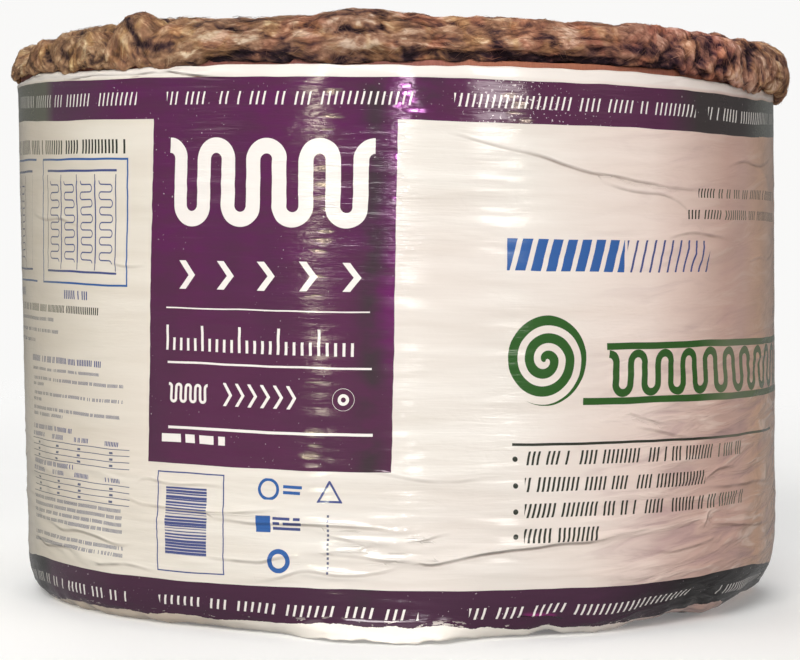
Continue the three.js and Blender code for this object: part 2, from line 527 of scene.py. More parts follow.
def small_folds():
    """Short folds of slack film: (s, z, half length, slope, bend, height, width above, width below)."""
    rng = np.random.default_rng(12)
    out = []

    def some(n, s0, s1, z0, z1, slope, spread, half, high, wide):
        for _ in range(n):
            out.append((rng.uniform(s0, s1), rng.uniform(z0, z1), rng.uniform(*half), rng.normal(slope, spread), rng.normal(0, 2.0),
                        rng.uniform(*high), rng.uniform(*wide), rng.uniform(*wide) * 0.7))

    some(46, -190, 190, 38, 76, 0.0, 0.09, (16, 46), (0.25, 0.85), (1.3, 3.0))
    some(26, -190, 190, 76, 112, 0.0, 0.07, (18, 50), (0.15, 0.5), (1.6, 3.4))
    some(54, -345, -185, 34, 112, -0.02, 0.12, (12, 40), (0.35, 1.0), (1.4, 3.2))
    some(40, -345, -185, 112, 318, 0.0, 0.08, (12, 40), (0.2, 0.7), (1.6, 3.6))
    some(60, 185, 350, 36, 150, 0.2, 0.14, (10, 34), (0.45, 1.3), (1.6, 4.2))
    some(44, 200, 350, 150, 318, -0.12, 0.22, (12, 40), (0.35, 1.1), (2.0, 5.0))
    some(40, -3, 200, 112, 318, -0.02, 0.06, (20, 60), (0.08, 0.3), (1.4, 3.0))
    some(46, -168, -3, 106, 318, 0.0, 0.05, (16, 50), (0.08, 0.34), (1.3, 2.8))
    for a, b in ((350, LOOP / 2), (-LOOP / 2, -345)):
        some(84, a, b, 34, 118, 0.0, 0.12, (14, 44), (0.3, 1.0), (1.4, 3.4))
        some(96, a, b, 118, 318, 0.0, 0.12, (14, 50), (0.15, 0.75), (1.6, 4.2))
    return out


FOLDS = small_folds()


def fold_relief(S, Z):
    total = np.zeros(S.shape)
    for s, z, half, slope, bend, high, above, below in FOLDS:
        reach = abs(slope) * half + 14.0
        for turn in (0.0, LOOP, -LOOP):
            pick = (np.abs(S - s - turn) < half) & (np.abs(Z - z) < reach)
            if not pick.any():
                continue
            u = (S[pick] - s - turn) / half
            v = Z[pick] - z - slope * half * u - bend * u * u
            w = np.where(v > 0, above, below)
            total[pick] += high * (1 - u * u) ** 2 * np.exp(-(np.sqrt(v * v + 0.12) - 0.35) / w)
    return total


def crease_field(S, Z):
    """Relief of the creases, and for the shader the signed distance to the nearest one with its strength."""
    total = np.zeros(S.shape)
    near_d = np.full(S.shape, 12.0)
    near_a = np.zeros(S.shape)
    near_abs = np.full(S.shape, 12.0)
    second = np.full(S.shape, 24.0)
    for pts, amp, above, below in all_creases():
        p = rounded(pts)
        lo, hi = p.min(0) - 16, p.max(0) + 16
        for turn in (0.0, LOOP, -LOOP):
            pick = (S > lo[0] + turn) & (S < hi[0] + turn) & (Z > lo[1]) & (Z < hi[1])
            if not pick.any():
                continue
            x, y = S[pick] - turn, Z[pick]
            y = y + 0.9 * perlin(x / 34.0, y / 60.0 + pts[0][0], 73)
            best = np.full(x.shape, 1e9)
            sign = np.ones(x.shape)
            along = np.zeros(x.shape)
            seg = np.hypot(*np.diff(p, axis=0).T)
            cum = np.concatenate([[0], np.cumsum(seg)])
            for k in range(len(p) - 1):
                d = p[k + 1] - p[k]
                t = ((x - p[k, 0]) * d[0] + (y - p[k, 1]) * d[1]) / (d @ d)
                t = np.clip(t, -9.0 if k == 0 else 0.0, 9.0 if k == len(p) - 2 else 1.0)
                qx, qy = x - (p[k, 0] + t * d[0]), y - (p[k, 1] + t * d[1])
                dist = np.hypot(qx, qy)
                near = dist < best
                best = np.where(near, dist, best)
                sign = np.where(near, np.sign(d[0] * qy - d[1] * qx), sign)
                along = np.where(near, (cum[k] + t * seg[k]) / cum[-1], along)
            taper = np.sin(np.pi * np.clip(along, 0, 1)) ** 0.85
            wob = 0.75 + 0.5 * perlin(along * 7, np.zeros_like(along) + pts[0][0], 71)
            w = np.maximum(np.where(sign > 0, above, below), np.interp(y, [100, 120, 235, 250, 320], [1.4, 1.9, 2.5, 2.1, 1.8]))
            strength = amp * taper * wob
            total[pick] += strength * np.exp(-(best / w) ** 2)
            total[pick] -= 0.35 * strength * np.exp(-((best - 2.6 * below) / (1.6 * below)) ** 2) * (sign < 0)
            closer = (best < near_abs[pick]) & (taper > 0.0)
            second[pick] = np.where(closer, near_abs[pick], np.where(taper > 0.0, np.minimum(second[pick], best), second[pick]))
            near_abs[pick] = np.where(closer, best, near_abs[pick])
            near_d[pick] = np.where(closer, best * sign, near_d[pick])
            near_a[pick] = np.where(closer, strength, near_a[pick])
    return total, near_d, near_a * smooth(4.4, 2.6, near_abs) * smooth(0.2, 2.4, second - near_abs)


def film_relief(S, V):
    """How far the film stands out from its smooth outline, in mm, at length S round and V down from its top edge."""
    Z = FILM_TOP - V
    X = S / LOOP + 0.5
    warp = 6.0 * perlin(X * 10, Z / 80, 11, 10) + 2.2 * perlin(X * 30, Z / 30, 12, 30)
    big = 0.8 * perlin(X * 11, Z / 105, 1, 11) + 0.42 * perlin(X * 26, Z / 44, 2, 26)
    zz = Z + warp
    mask = smooth(-0.5, 0.9, perlin(X * 9, Z / 62, 5, 9))
    low = np.exp(-((Z - 62) / 42) ** 2)
    left = smooth(-150, -220, S) * smooth(-560, -480, S)
    rite = smooth(140, 230, S) * smooth(560, 480, S)
    lift_ = 0.5 + 0.8 * mask + 0.8 * low + 0.25 * left + 0.35 * rite
    fine = 0.22 * perlin(X * 36, zz / 5.2, 3, 36) + 0.12 * perlin(X * 64, zz / 3.4, 4, 64) + 0.22 * perlin(X * 24, zz / 11.0, 8, 24)
    h = big + lift_ * fine + fold_relief(S, Z)
    # slack film at the right of the front sags in broad waves
    h = h + 0.9 * rite * perlin(X * 16, (Z + 0.25 * (S - 190)) / 26.0, 9, 16) * smooth(330, 300, Z)
    creases, _, _ = crease_field(S, Z)
    h = h + creases
    # the top edge, cut and shrunk: pleats that fade downwards, and a curled lip at the left
    edge = np.exp(-V / 8.0)
    h += edge * (0.55 * perlin(X * 90, V / 30, 21, 90) + 0.5 * perlin(X * 38, V / 40, 22, 38))
    curl = smooth(-88, -125, S) * smooth(-470, -380, S)
    v1 = 4.0 + 2.6 * perlin(X * 22, 0 * V, 23, 22)
    v2 = 9.5 + 3.0 * perlin(X * 17, 0 * V, 26, 17)
    h += curl * (1.5 * np.exp(-((V - v1) / 1.9) ** 2) - 0.6 * np.exp(-((V - v1 - 3.6) / 1.4) ** 2) + 1.0 * np.exp(-((V - v2) / 1.5) ** 2))
    v3 = 6.0 + 2.5 * perlin(X * 26, 0 * V, 24, 26)
    h += (1 - curl) * 0.7 * np.exp(-((V - v3) / 1.6) ** 2) * smooth(-0.2, 0.6, perlin(X * 15, 0 * V, 25, 15))
    # gathers where the film is turned under at the base
    g = smooth(22, -4, Z)
    pleat = 1 - 2.3 * np.sqrt(perlin(X * 58 + 0.02 * Z, Z / 70, 31, 58) ** 2 + 0.004)
    pleat2 = 1 - 2.3 * np.sqrt(perlin(X * 130 + 0.03 * Z, Z / 60, 32, 130) ** 2 + 0.004)
    h += g * (0.95 * pleat + 0.35 * pleat2)
    h += np.exp(-((Z - 7) / 4.0) ** 2) * (0.6 * perlin(X * 84, Z / 6, 33, 84) + 0.3 * perlin(X * 190, Z / 3, 34, 190))
    h = h + 0.15
    # drawn tight where the near side turns away
    tight = smooth(300, 345, np.abs(S)) * smooth(445, 410, np.abs(S)) * smooth(12, 30, Z)
    h = h * (1 - 0.62 * tight)
    low_lim, top_lim = -0.85, 3.2
    h = low_lim + np.log1p(np.exp(np.clip((h - low_lim) * 3.0, -40, 40))) / 3.0
    return np.minimum(h, top_lim - np.log1p(np.exp(np.clip((top_lim - h) * -3.0, -40, 40))) / 3.0)


def film_slide(S, V):
    """Small shifts of the film in its own plane, in mm: (ds, dz)."""
    Z = FILM_TOP - V
    X = S / LOOP + 0.5
    ds = 0.3 * perlin(X * 24, Z / 40, 41, 24) + 0.28 * perlin(X * 60, Z / 8, 42, 60)
    dz = 0.55 * perlin(X * 18, Z / 60, 43, 18) + 0.3 * perlin(X * 70, Z / 14, 44, 70)
    dz += np.exp(-((Z - 6.5) / 5.0) ** 2) * (0.45 * perlin(X * 60, 0 * Z, 45, 60) + 0.2 * perlin(X * 190, 0 * Z, 46, 190))
    return ds, dz


def upright(S):
    """Share of the lean that the print doesn't follow, so that its upright lines stay upright."""
    d = np.abs(S / R * 180 / math.pi)
    return 1.15 * smooth(115, 58, d)


DIP = [(-400, 0.0), (-360, -6.0), (-340, -4.4), (-320, -2.6), (-300, -1.3), (-250, -1.6), (-225, -2.2), (-200, -2.3), (-180, -1.8), (-150, -1.9), (-120, -1.5),
       (-100, -1.3), (-80, -0.7), (-50, -0.4), (-30, 0.4), (0, -0.3), (100, -0.3), (150, -1.2), (180, -0.7), (210, 0.2), (240, 1.4), (270, 1.6), (300, 1.2),
       (320, -0.9), (340, -3.3), (360, -5.4), (400, 0.0)]

RISE = [(-410, 0.0), (-370, 3.6), (-340, 3.6), (-300, 2.8), (-260, 1.8), (-180, 1.4), (-140, 0.8), (0, 0.8), (40, 0.4), (100, 0.2), (140, -0.2), (180, -0.7),
        (220, -0.9), (260, -1.3), (285, -1.2), (320, 0.2), (360, 1.4), (410, 0.0)]


Z_MID = 222.0


def film_point(S, V, out=0.0):
    r, z, nr, nz = on_outline(V)
    ds, dz = film_slide(S, V)
    deg = S / R * 180 / math.pi
    h = film_relief(S, V) + out
    r = r + nr * h
    z = z + nz * h + dz * smooth(VMAX, VMAX - 14, V) * smooth(0, 4, V)
    # the top edge droops towards the right and waves a little
    X = S / LOOP + 0.5
    drop = knots(deg, [(-180, 0.5), (-110, 2.0), (-90, 8.0), (-78, 9.6), (-74, 8.4), (-69, 6.4), (-65, 3.9), (-60, 3.2), (-48, 4.0), (-40, 3.2), (-30, 2.3), (-20, 1.9),
                       (0, 1.8), (5, 1.1), (15, 1.0), (20, 0.7), (30, 0.4), (40, 0.4), (50, 1.8), (58, 2.4), (64, 3.0), (72, 4.4), (80, 3.6), (100, 3.0), (140, 1.5), (180, 0.5)])
    wave = 0.8 * perlin(X * 40, 0 * V, 51, 40) + 0.5 * perlin(X * 110, 0 * V, 52, 110)
    z = z - (drop + wave) * np.exp(-V / (6.5 + 8.0 * smooth(0.0, 50.0, deg)))
    # the print's lowest lines dip at the sides
    z = z + knots(S, DIP) * np.exp(-((FILM_TOP - V - 30.0) / 26.0) ** 2)
    z = z + knots(S, RISE) * smooth(270.0, 318.0, FILM_TOP - V)
    z = np.maximum(z, 0.25)
    # the block's left edge leans a little
    edge = np.exp(-((S + 167.5) / 22.0) ** 2) * np.clip((Z_MID - (FILM_TOP - V)) / 108.0, -1.1, 1.3)
    s = S + ds - lean(z) * upright(S) - 1.9 * edge
    return r, s / R, z


# how far down the film its lowest band is printed, mm above the fold, round the roll
HEM = [(-829, 4.0), (-760, 6.0), (-700, 3.0), (-640, 6.5), (-560, 3.5), (-500, 5.5), (-440, 3.0), (-400, -2.0), (-320, -3.0), (-308, -1.0), (-300, 0.4), (-290, 0.6), (-280, 2.4),
       (-262, 5.0), (-250, 4.8), (-240, 5.4), (-230, 6.8), (-220, 5.4), (-210, 5.2), (-200, 6.4), (-190, 5.4), (-180, 4.3), (-165, 5.8), (-140, 5.2), (-130, 3.5),
       (-118, 4.4), (-100, 5.8), (-85, 6.6), (-70, 7.6), (-58, 9.2), (-48, 9.8), (-36, 9.2), (-22, 7.7), (-10, 8.3), (0, 9.7), (10, 8.6), (22, 9.1), (36, 7.4),
       (50, 7.0), (60, 8.0), (70, 6.4), (85, 4.2), (98, 2.4), (110, 0.6), (120, 2.6), (132, 3.4), (146, 4.0), (160, 4.6), (170, 2.2), (180, 0.6), (204, 0.8), (224, 1.2),
       (236, 2.6), (248, 4.6), (260, 6.0), (272, 6.8), (280, 4.4), (288, -1.0), (296, -3.0), (316, -2.4), (400, -2.0),
       (450, 3.5), (520, 6.0), (600, 2.5), (680, 5.5), (760, 3.0), (829, 4.0)]


def hem_line(S):
    X = S / LOOP + 0.5
    return knots(S, HEM) + 0.5 * perlin(X * 150, 0 * X, 48, 150)


# ---------------------------------------------------------------- print: rectangles on the unrolled film
PURPLE = srgb(84, 43, 71)
WHITE = srgb(238, 232, 228)
DARK = srgb(28, 36, 26)
GREEN = srgb(16, 80, 0)
BLUE = srgb(28, 86, 156)
BLUE2 = srgb(58, 70, 128)
SMALL = srgb(92, 96, 122)
REGIONS = []


def fix_s(s, z):
    return s + lean(z) * float(upright(np.array(float(s))))


def reg(s0, s1, z0, z1, ink=None, kind=0, mark=None, a=(0, 0, 0), b=(0, 0, 0), straight=True):
    zc = 0.5 * (z0 + z1)
    if straight and s1 - s0 < 1000:
        s0, s1 = fix_s(s0, zc), fix_s(s1, zc)
    REGIONS.append(dict(s0=s0, s1=s1, z0=z0, z1=z1, ink=ink, kind=kind, mark=mark, a=a, b=b))


def bars(s0, s1, z0, z1, col, c, slant=0.0, duty=0.4, gap=0.16, pitch=100.0, h=None):
    """Rows of short leaning bars, in groups."""
    reg(s0, s1, z0, z1, None, 1, col, (pitch, h or z1 - z0, c), (slant, duty, gap))


def lines(s0, s1, z0, z1, col, pitch, h, gap=0.17, c=2.2):
    """Rows of dashes, as small print looks from a distance."""
    reg(s0, s1, z0, z1, None, 1, col, (pitch, h, c), (0.0, 1.5, gap))


def small_print(s0, s1, z0, z1, pitch, h, gap=0.17):
    """Rows of fine upright strokes, as small print looks from a distance."""
    reg(s0, s1, z0, z1, None, 1, SMALL, (pitch, h, 1.15), (0.12, 0.58, gap))


def solid(s0, s1, z0, z1, col):
    reg(s0, s1, z0, z1, None, 7, col)


def outline_box(s0, s1, z0, z1, w, col):
    reg(s0, s1, z0, z1, None, 10, col, (s1 - s0, z1 - z0, w))


def rules(s0, s1, z0, z1, col, pitch, share):
    """Thin level lines, pitch apart."""
    reg(s0, s1, z0, z1, None, 9, col, (pitch, 0, share))


H = LOOP / 2
# bands right round, and the block
reg(-H, H, 320.0, 346.4, PURPLE, straight=False)
reg(-H, H, -6.0, 32.6, PURPLE, straight=False)
reg(-167.5, -3.2, 105.0, 320.0, PURPLE, straight=False)
# a row of leaning bars along each band
for s0, s1 in ((-H + 30, -H + 196), (-560, -382), (-352, -176), (-152, 14), (36, 214), (228, 404), (440, 600), (630, 800)):
    bars(s0, s1, 329.0, 337.2, WHITE, 4.15, 0.2, 0.3, 0.15)
for s0, s1 in ((-H + 40, -H + 214), (-580, -398), (-368, -186), (-166, 10), (42, 214), (246, 420), (452, 612), (640, 796)):
    bars(s0, s1, 13.6, 21.2, WHITE, 4.9, 0.24, 0.32, 0.14)
# heading: a batt's loops
reg(-149.5, -13.0, 254.0, 308.5, None, 2, WHITE, (34.12, 13.9, 4.7), (27.2, 0, 0))
# arrows that show which way it unrolls
reg(-150.5, -14.0, 214.6, 233.0, None, 4, WHITE, (27.3, 0.78, 2.4), (9.2, 0, 0))
for z in (202.7, 168.6, 127.5):
    solid(-153.0, -16.5, z - 0.65, z + 0.65, WHITE)
# a measuring scale
reg(-154.0, -24.0, 176.0, 192.0, None, 5, WHITE, (5.2, 16.0, 0.34), (5, 0.5, 0))
# three small panels
reg(-152.5, -124.0, 142.0, 157.0, None, 2, WHITE, (7.1, 3.6, 0.9), (7.5, 0, 0))
reg(-113, -62, 142.0, 157.0, None, 4, WHITE, (8.5, 0.6, 1.1), (7.5, 0, 0))
reg(-50, -19, 142.0, 157.0, None, 3, WHITE, (5.17, 7.0, 1.0), (15.5, 7.5, 0))
lines(-158, -112, 117.5, 123.5, WHITE, 10, 5.4, 0.2, 3.4)
# lines at the upper right
bars(216, 356, 277.2, 283.4, DARK, 3.4, 0.14, 0.42, 0.16)
bars(203, 356, 263.2, 269.4, DARK, 3.4, 0.14, 0.42, 0.16)
# blue bars, leaning
bars(68, 150, 229.5, 249.5, BLUE, 10.2, 0.25, 0.66, 0.0)
bars(152, 226, 229.5, 249.5, BLUE2, 7.6, 0.25, 0.22, 0.0)
# green: a roll seen from its end, with its batt running off it
reg(64.5, 121.0, 146.5, 202.5, None, 3, GREEN, (11.0, 28.0, 3.1), (28.2, 28.0, 1))
solid(118.5, 392, 146.6, 151.0, GREEN)
solid(136.0, 392, 181.0, 185.4, GREEN)
reg(137.0, 392, 151.0, 181.0, None, 2, GREEN, (23.0, 6.6, 2.5), (15.0, 0, 0))
solid(70, 338, 121.8, 123.1, DARK)
for z1, s1 in ((118.5, 270), (102.0, 222), (86.0, 270), (70.5, 132)):
    reg(69.6, 74.0, z1 - 7.2, z1 - 2.8, None, 3, DARK, (8, 1.7, 9), (2.2, 2.2, 0))
    bars(77.5, s1, z1 - 8.8, z1, DARK, 3.3, 0.2, 0.46, 0.18)
# left panel: heading, framed diagrams, lines, tables
bars(-404, -185.5, 298.6, 307.4, DARK, 3.5, 0.0, 0.52, 0.15)
for k, s0 in enumerate((-290.0, -407.5, -525.0)):
    s1 = s0 + 104.5
    outline_box(s0, s1, 215.0, 296.0, 1.3, BLUE)
    rules(s0 + 8.6, s0 + 94.0, 222.0, 289.0, BLUE2, 64.8, 0.022)
    reg(s0 + 8.6, s0 + 94.0, 224.8, 286.0, None, 5, SMALL, (21.0, 61.2, 0.045), (1, 1, 0))
    reg(s0 + 12.0, s0 + 12.0 + 21.0 * (4 - k) - 3.0, 229.0, 282.0, None, 2, BLUE2, (9.6, 4.2, 0.4), (8.2, 1, 21.0))
    bars(s0 + 33, s0 + 65, 205.4, 211.0, BLUE2, 2.5, 0.0, 0.52, 0.1)
bars(-400, -215, 196.0, 200.8, DARK, 2.2, 0.0, 0.52, 0.15)
for (s1, z) in ((-274, 192.2), (-266, 184.6), (-312, 177.6)):
    small_print(-400, s1, z - 2.6, z, 10, 2.3)
bars(-321, -214, 162.8, 166.8, BLUE2, 2.0, 0.1, 0.56, 0.14)
for (s1, z) in ((-216, 159.0), (-192.5, 152.6), (-292, 148.6), (-192.5, 142.6), (-301, 138.4), (-196, 132.6), (-263, 128.6)):
    small_print(-320, s1, z - 2.4, z, 10, 2.2)
for z in (120.6, 97.2):
    bars(-322, -248, z - 3.2, z, BLUE2, 1.7, 0.1, 0.56, 0.16)
    for (a, b) in ((-322, -294), (-279, -262), (-247, -230), (-212, -198)):
        bars(a, b, z - 8.0, z - 5.0, BLUE2, 1.6, 0.1, 0.56, 0.12)
    rules(-323, -187, z - 22.4, z - 9.4, SMALL, 4.1, 0.13)
    for x in (-308, -270, -240.5, -205.5):
        reg(x - 2.2, x + 1.4, z - 22.4, z - 9.4, None, 11, SMALL, (4.1, 3.4, 0.13), (0.5, 0.86, 0))
small_print(-323, -196, 55.6, 72.8, 4.3, 2.3, 0.12)
small_print(-323, -196, 43.0, 49.8, 4.3, 2.3, 0.12)
# the framed bars, small badges and the triangle
outline_box(-163.0, -114.0, 38.0, 100.0, 0.85, BLUE2)
reg(-156.6, -126.0, 49.0, 90.5, None, 6, BLUE2, (1.8, 0, 0))
reg(-91.0, -75.0, 85.5, 99.5, None, 3, BLUE, (14.0, 7.0, 1.9), (8.0, 7.0, 0))
lines(-73.5, -61.5, 88.6, 95.6, BLUE, 3.7, 2.0, 0.1)
solid(-91.0, -82.0, 66.0, 76.2, BLUE)
lines(-80.5, -61.5, 66.8, 75.6, BLUE2, 3.1, 1.8, 0.12)
reg(-85.0, -69.6, 40.6, 56.2, None, 3, BLUE, (15.0, 7.5, 3.0), (7.7, 7.8, 0))
reg(-52.0, -36.0, 84.6, 99.0, None, 8, BLUE2, (4.1, 0.7, 0), (8.0, 8.6, 0))
rules(-46.2, -44.8, 41.0, 78.0, SMALL, 2.9, 0.55)
# the far side, as the near one goes on: a second block of the same kind, and plain lines
reg(640.0, 800.0, 105.0, 320.0, PURPLE, straight=False)
reg(652.0, 788.0, 254.0, 308.5, None, 2, WHITE, (34.0, 13.9, 4.7), (27.2, 0, 0))
reg(652.0, 788.0, 214.6, 233.0, None, 4, WHITE, (27.2, 0.78, 2.4), (9.2, 0, 0))
for z in (202.7, 168.6, 127.5):
    solid(652.0, 788.0, z - 0.65, z + 0.65, WHITE)
reg(655.0, 785.0, 176.0, 192.0, None, 5, WHITE, (5.2, 16.0, 0.34), (5, 0.5, 0))
solid(420, 600, 121.8, 123.1, DARK)
for z1, s1 in ((118.5, 560), (102.0, 540), (86.0, 575)):
    bars(428, s1, z1 - 8.8, z1, DARK, 3.3, 0.2, 0.46, 0.18)


def grid_lines(lo, hi, edges, step, merge):
    """Lines from lo to hi through every print edge, no further apart than step(x)."""
    out = [lo]
    for e in sorted(edges) + [hi]:
        if e - out[-1] < merge or hi - e < merge and e != hi:
            continue
        a = out[-1]
        n = max(1, int(math.ceil((e - a) / step(0.5 * (a + e)) - 0.25)))
        out += [a + (e - a) * (i + 1) / n for i in range(n)]
    return np.array(out)


def build_film(material):
    es = [e for g in REGIONS for e in (g["s0"], g["s1"]) if -H + 4 < e < H - 4]
    cols = grid_lines(-H, H, es, lambda x: 4.9 if abs(x) < 455 else 10.0, 1.0)[:-1]
    zstep = [(400, 1.6), (330, 1.75), (250, 1.9), (235, 2.3), (150, 2.2), (112, 1.7), (100, 1.3), (36, 1.3), (20, 1.6), (-60, 1.6)][::-1]
    ev = [FILM_TOP - e for g in REGIONS for e in (g["z0"], g["z1"])]
    rows = grid_lines(0.0, VMAX, ev, lambda v: float(np.interp(FILM_TOP - v, [q[0] for q in zstep], [q[1] for q in zstep])), 0.62)
    nr, nc = len(rows), len(cols)
    V, S = np.meshgrid(rows, cols, indexing="ij")
    r, th, z = film_point(S, V)
    outer = place(r, th, z)
    # the inside of the sheet, with fewer rows
    inner_rows = np.array([VMAX, VMAX - 10, VMAX - 24, VMAX - 40, 250.0, 160.0, 80.0, 30.0, 10.0, 3.0, 0.0])
    thick = np.array([0.25, 0.7, 1.2, 1.5, 1.6, 1.6, 1.6, 1.5, 1.1, 0.7, 0.35])
    inner = []
    for v, t in zip(inner_rows, thick):
        vv = np.full(nc, v)
        rr, zz, n_r, n_z = on_outline(vv)
        if v in (VMAX, 0.0):
            q = film_point(cols, vv, -t)
            p = place(*q)
            if v == VMAX:
                p[:, 2] = outer[-1][:, 2] + t * MM
            inner.append(p)
        else:
            h = np.minimum(film_relief(cols, vv), 0.0 if v > 12 else 9.0) - t
            rr = rr + n_r * h
            zz = np.maximum(zz + n_z * h, 0.6)
            if v < 12:
                a, b, c = film_point(cols, vv, -t)
                inner.append(place(a, b, c))
            else:
                inner.append(place(rr, (cols - lean(zz) * upright(cols)) / R, zz))
    inner = np.array(inner)
    co = np.concatenate([outer.reshape(-1, 3), inner.reshape(-1, 3)])
    rows_all = nr + len(inner_rows)
    quads = ring_faces(rows_all, nc, True, True)
    ob = make_mesh("film_wrap_sheet", co, quads, material)
    # faces in the same order as the grid
    iv = np.concatenate([rows, inner_rows])
    I, J = np.meshgrid(np.arange(rows_all), np.arange(nc), indexing="ij")
    I2, J2 = (I + 1) % rows_all, J + 1
    col_s = np.concatenate([cols, [cols[0] + LOOP]])
    su = np.stack([col_s[J], col_s[J2], col_s[J2], col_s[J]], -1)
    zv = np.stack([FILM_TOP - iv[I], FILM_TOP - iv[I], FILM_TOP - iv[I2], FILM_TOP - iv[I2]], -1)
    uv_layer(ob, "Print", np.stack([su * MM, zv * MM], -1))
    # a bake map in two strips, front half above and back half below, with the inside in a narrow third one
    outside = (I < nr - 1)
    wrap = col_s - cols[0]
    half = LOOP / 2
    mid = 0.5 * (wrap[J] + wrap[J2])
    # break the strips on a column line
    split = wrap[np.searchsorted(wrap, half)]
    second = mid > split
    W = max(split, LOOP - split)
    base_u = np.where(second[..., None], np.stack([wrap[J], wrap[J2], wrap[J2], wrap[J]], -1) - split,
                      np.stack([wrap[J], wrap[J2], wrap[J2], wrap[J]], -1))
    u = 0.004 + 0.992 * base_u / W
    vv = np.stack([iv[I], iv[I], iv[I2], iv[I2]], -1) / VMAX
    v = np.where(second[..., None], 0.452 - 0.448 * vv, 0.904 - 0.448 * vv)
    inside_i = np.clip((np.stack([I, I, I + 1, I + 1], -1) - (nr - 1)) / (len(inner_rows) + 1.0), 0, 1)
    v_in = 0.996 - 0.084 * inside_i
    u_in = 0.004 + 0.992 * np.stack([wrap[J], wrap[J2], wrap[J2], wrap[J]], -1) / LOOP
    u = np.where(outside[..., None], u, u_in)
    v = np.where(outside[..., None], v, v_in)
    uv_layer(ob, "OFBake", np.stack([u, v], -1))
    ob.data.uv_layers.active = ob.data.uv_layers["OFBake"]
    ob.data.uv_layers["OFBake"].active_render = True
    # what is printed on each face
    fs = 0.5 * (col_s[J] + col_s[J2]).ravel()
    fz = (FILM_TOP - 0.5 * (iv[I] + iv[I2])).ravel()
    on = outside.ravel()
    n = len(fs)
    ink = np.zeros((n, 4)); ink[:, :3] = (1, 1, 1)
    inked = np.zeros(n)
    mark = np.zeros((n, 4)); mark[:, 3] = 1
    m0, m1, m2 = np.zeros((n, 3)), np.ones((n, 3)), np.zeros((n, 3))
    for k, g in enumerate(REGIONS):
        pick = on & (fs > g["s0"]) & (fs < g["s1"]) & (fz > g["z0"]) & (fz < g["z1"])
        if g["ink"] is not None:
            ink[pick, :3] = g["ink"]
            inked[pick] = 1.0
        if g["kind"]:
            mark[pick, :3] = g["mark"]
            m0[pick] = (g["s0"], g["z1"], g["kind"])
            m1[pick] = g["a"]
            m2[pick] = g["b"]
    face_attr(ob, "ink", ink, "FLOAT_COLOR")
    face_attr(ob, "inked", inked)
    face_attr(ob, "mark", mark, "FLOAT_COLOR")
    face_attr(ob, "m0", m0, "FLOAT_VECTOR")
    face_attr(ob, "m1", m1, "FLOAT_VECTOR")
    face_attr(ob, "m2", m2, "FLOAT_VECTOR")
    _, cd, ca = crease_field(S, FILM_TOP - V)
    pad = np.zeros((len(inner_rows), nc))
    point_attr(ob, "hem", np.concatenate([hem_line(S), pad]))
    point_attr(ob, "crease_d", np.concatenate([cd, pad + 12.0]))
    point_attr(ob, "crease_a", np.concatenate([ca, pad]))
    print("film: %d rows, %d columns, %d triangles" % (nr, nc, 2 * len(quads)))
    return ob


# ---------------------------------------------------------------- film material
FILM_A, FILM_B, FILM_C = srgb(216, 208, 200), srgb(234, 229, 223), srgb(220, 204, 198)


# small flat dents in the tight film of the front: middle (s, z), half width and height, slope along and up it
DENTS = [(-43.1, 337.1, 6, 1.5, 0.032, 0.004), (-44.3, 321.9, 7, 1.8, 0.012, -0.002), (-46.6, 314, 4, 1.4, -0.006, 0.031),
         (-46.6, 290.8, 6.5, 1.7, -0.009, -0.027), (-47, 280.4, 8, 2.1, 0.008, 0.002), (-48.4, 273.1, 6.4, 1.6, -0.011, -0.023),
         (-43.9, 266.6, 6.5, 1.6, 0.022, -0.069), (-48.8, 246.4, 6.4, 1.8, 0.011, -0.011), (-46.2, 252.4, 5.4, 1.5, 0.009, -0.038),
         (-50.1, 239.6, 5.6, 1.6, -0.014, -0.076), (-50.1, 224, 6, 1.3, -0.015, -0.012), (-52.1, 212.2, 5, 1.5, -0.015, -0.036),
         (-51.6, 128.3, 7, 2, -0.05, -0.022), (-52.1, 120.3, 5, 1.3, -0.037, -0.108), (-53.6, 114.7, 6.6, 2.2, -0.045, -0.072),
         (-50, 160, 6, 1.4, -0.028, -0.061), (66, 336.4, 5.4, 1.8, -0.01, 0.036), (73, 331.4, 6, 2, 0.015, -0.052), (69, 326, 5, 1.6, 0.006, 0.009),
         (76, 321.8, 5.8, 1.5, 0.046, 0.014)]
DENTS_MID = [(0.6, 340.8, 3.2, 1.6, -0.005, 0.011), (2.6, 336.2, 4.4, 2.2, 0.012, -0.011), (5.4, 331.6, 4.6, 2.2, 0.024, 0.028),
             (-1.6, 328.6, 3, 1.8, -0.014, -0.014), (8, 325.6, 6.5, 1.6, 0.028, -0.024), (-1.8, 316.6, 2.6, 1.6, -0.011, -0.02),
             (-1.6, 309.4, 2.2, 2.4, -0.004, 0.03), (-2.4, 298, 2, 2.6, -0.004, -0.011), (-1.6, 285, 2.2, 2.2, -0.011, -0.097),
             (-3, 273, 2.4, 2, -0.009, -0.067), (-2.2, 262, 2, 2, 0.004, 0.032)]


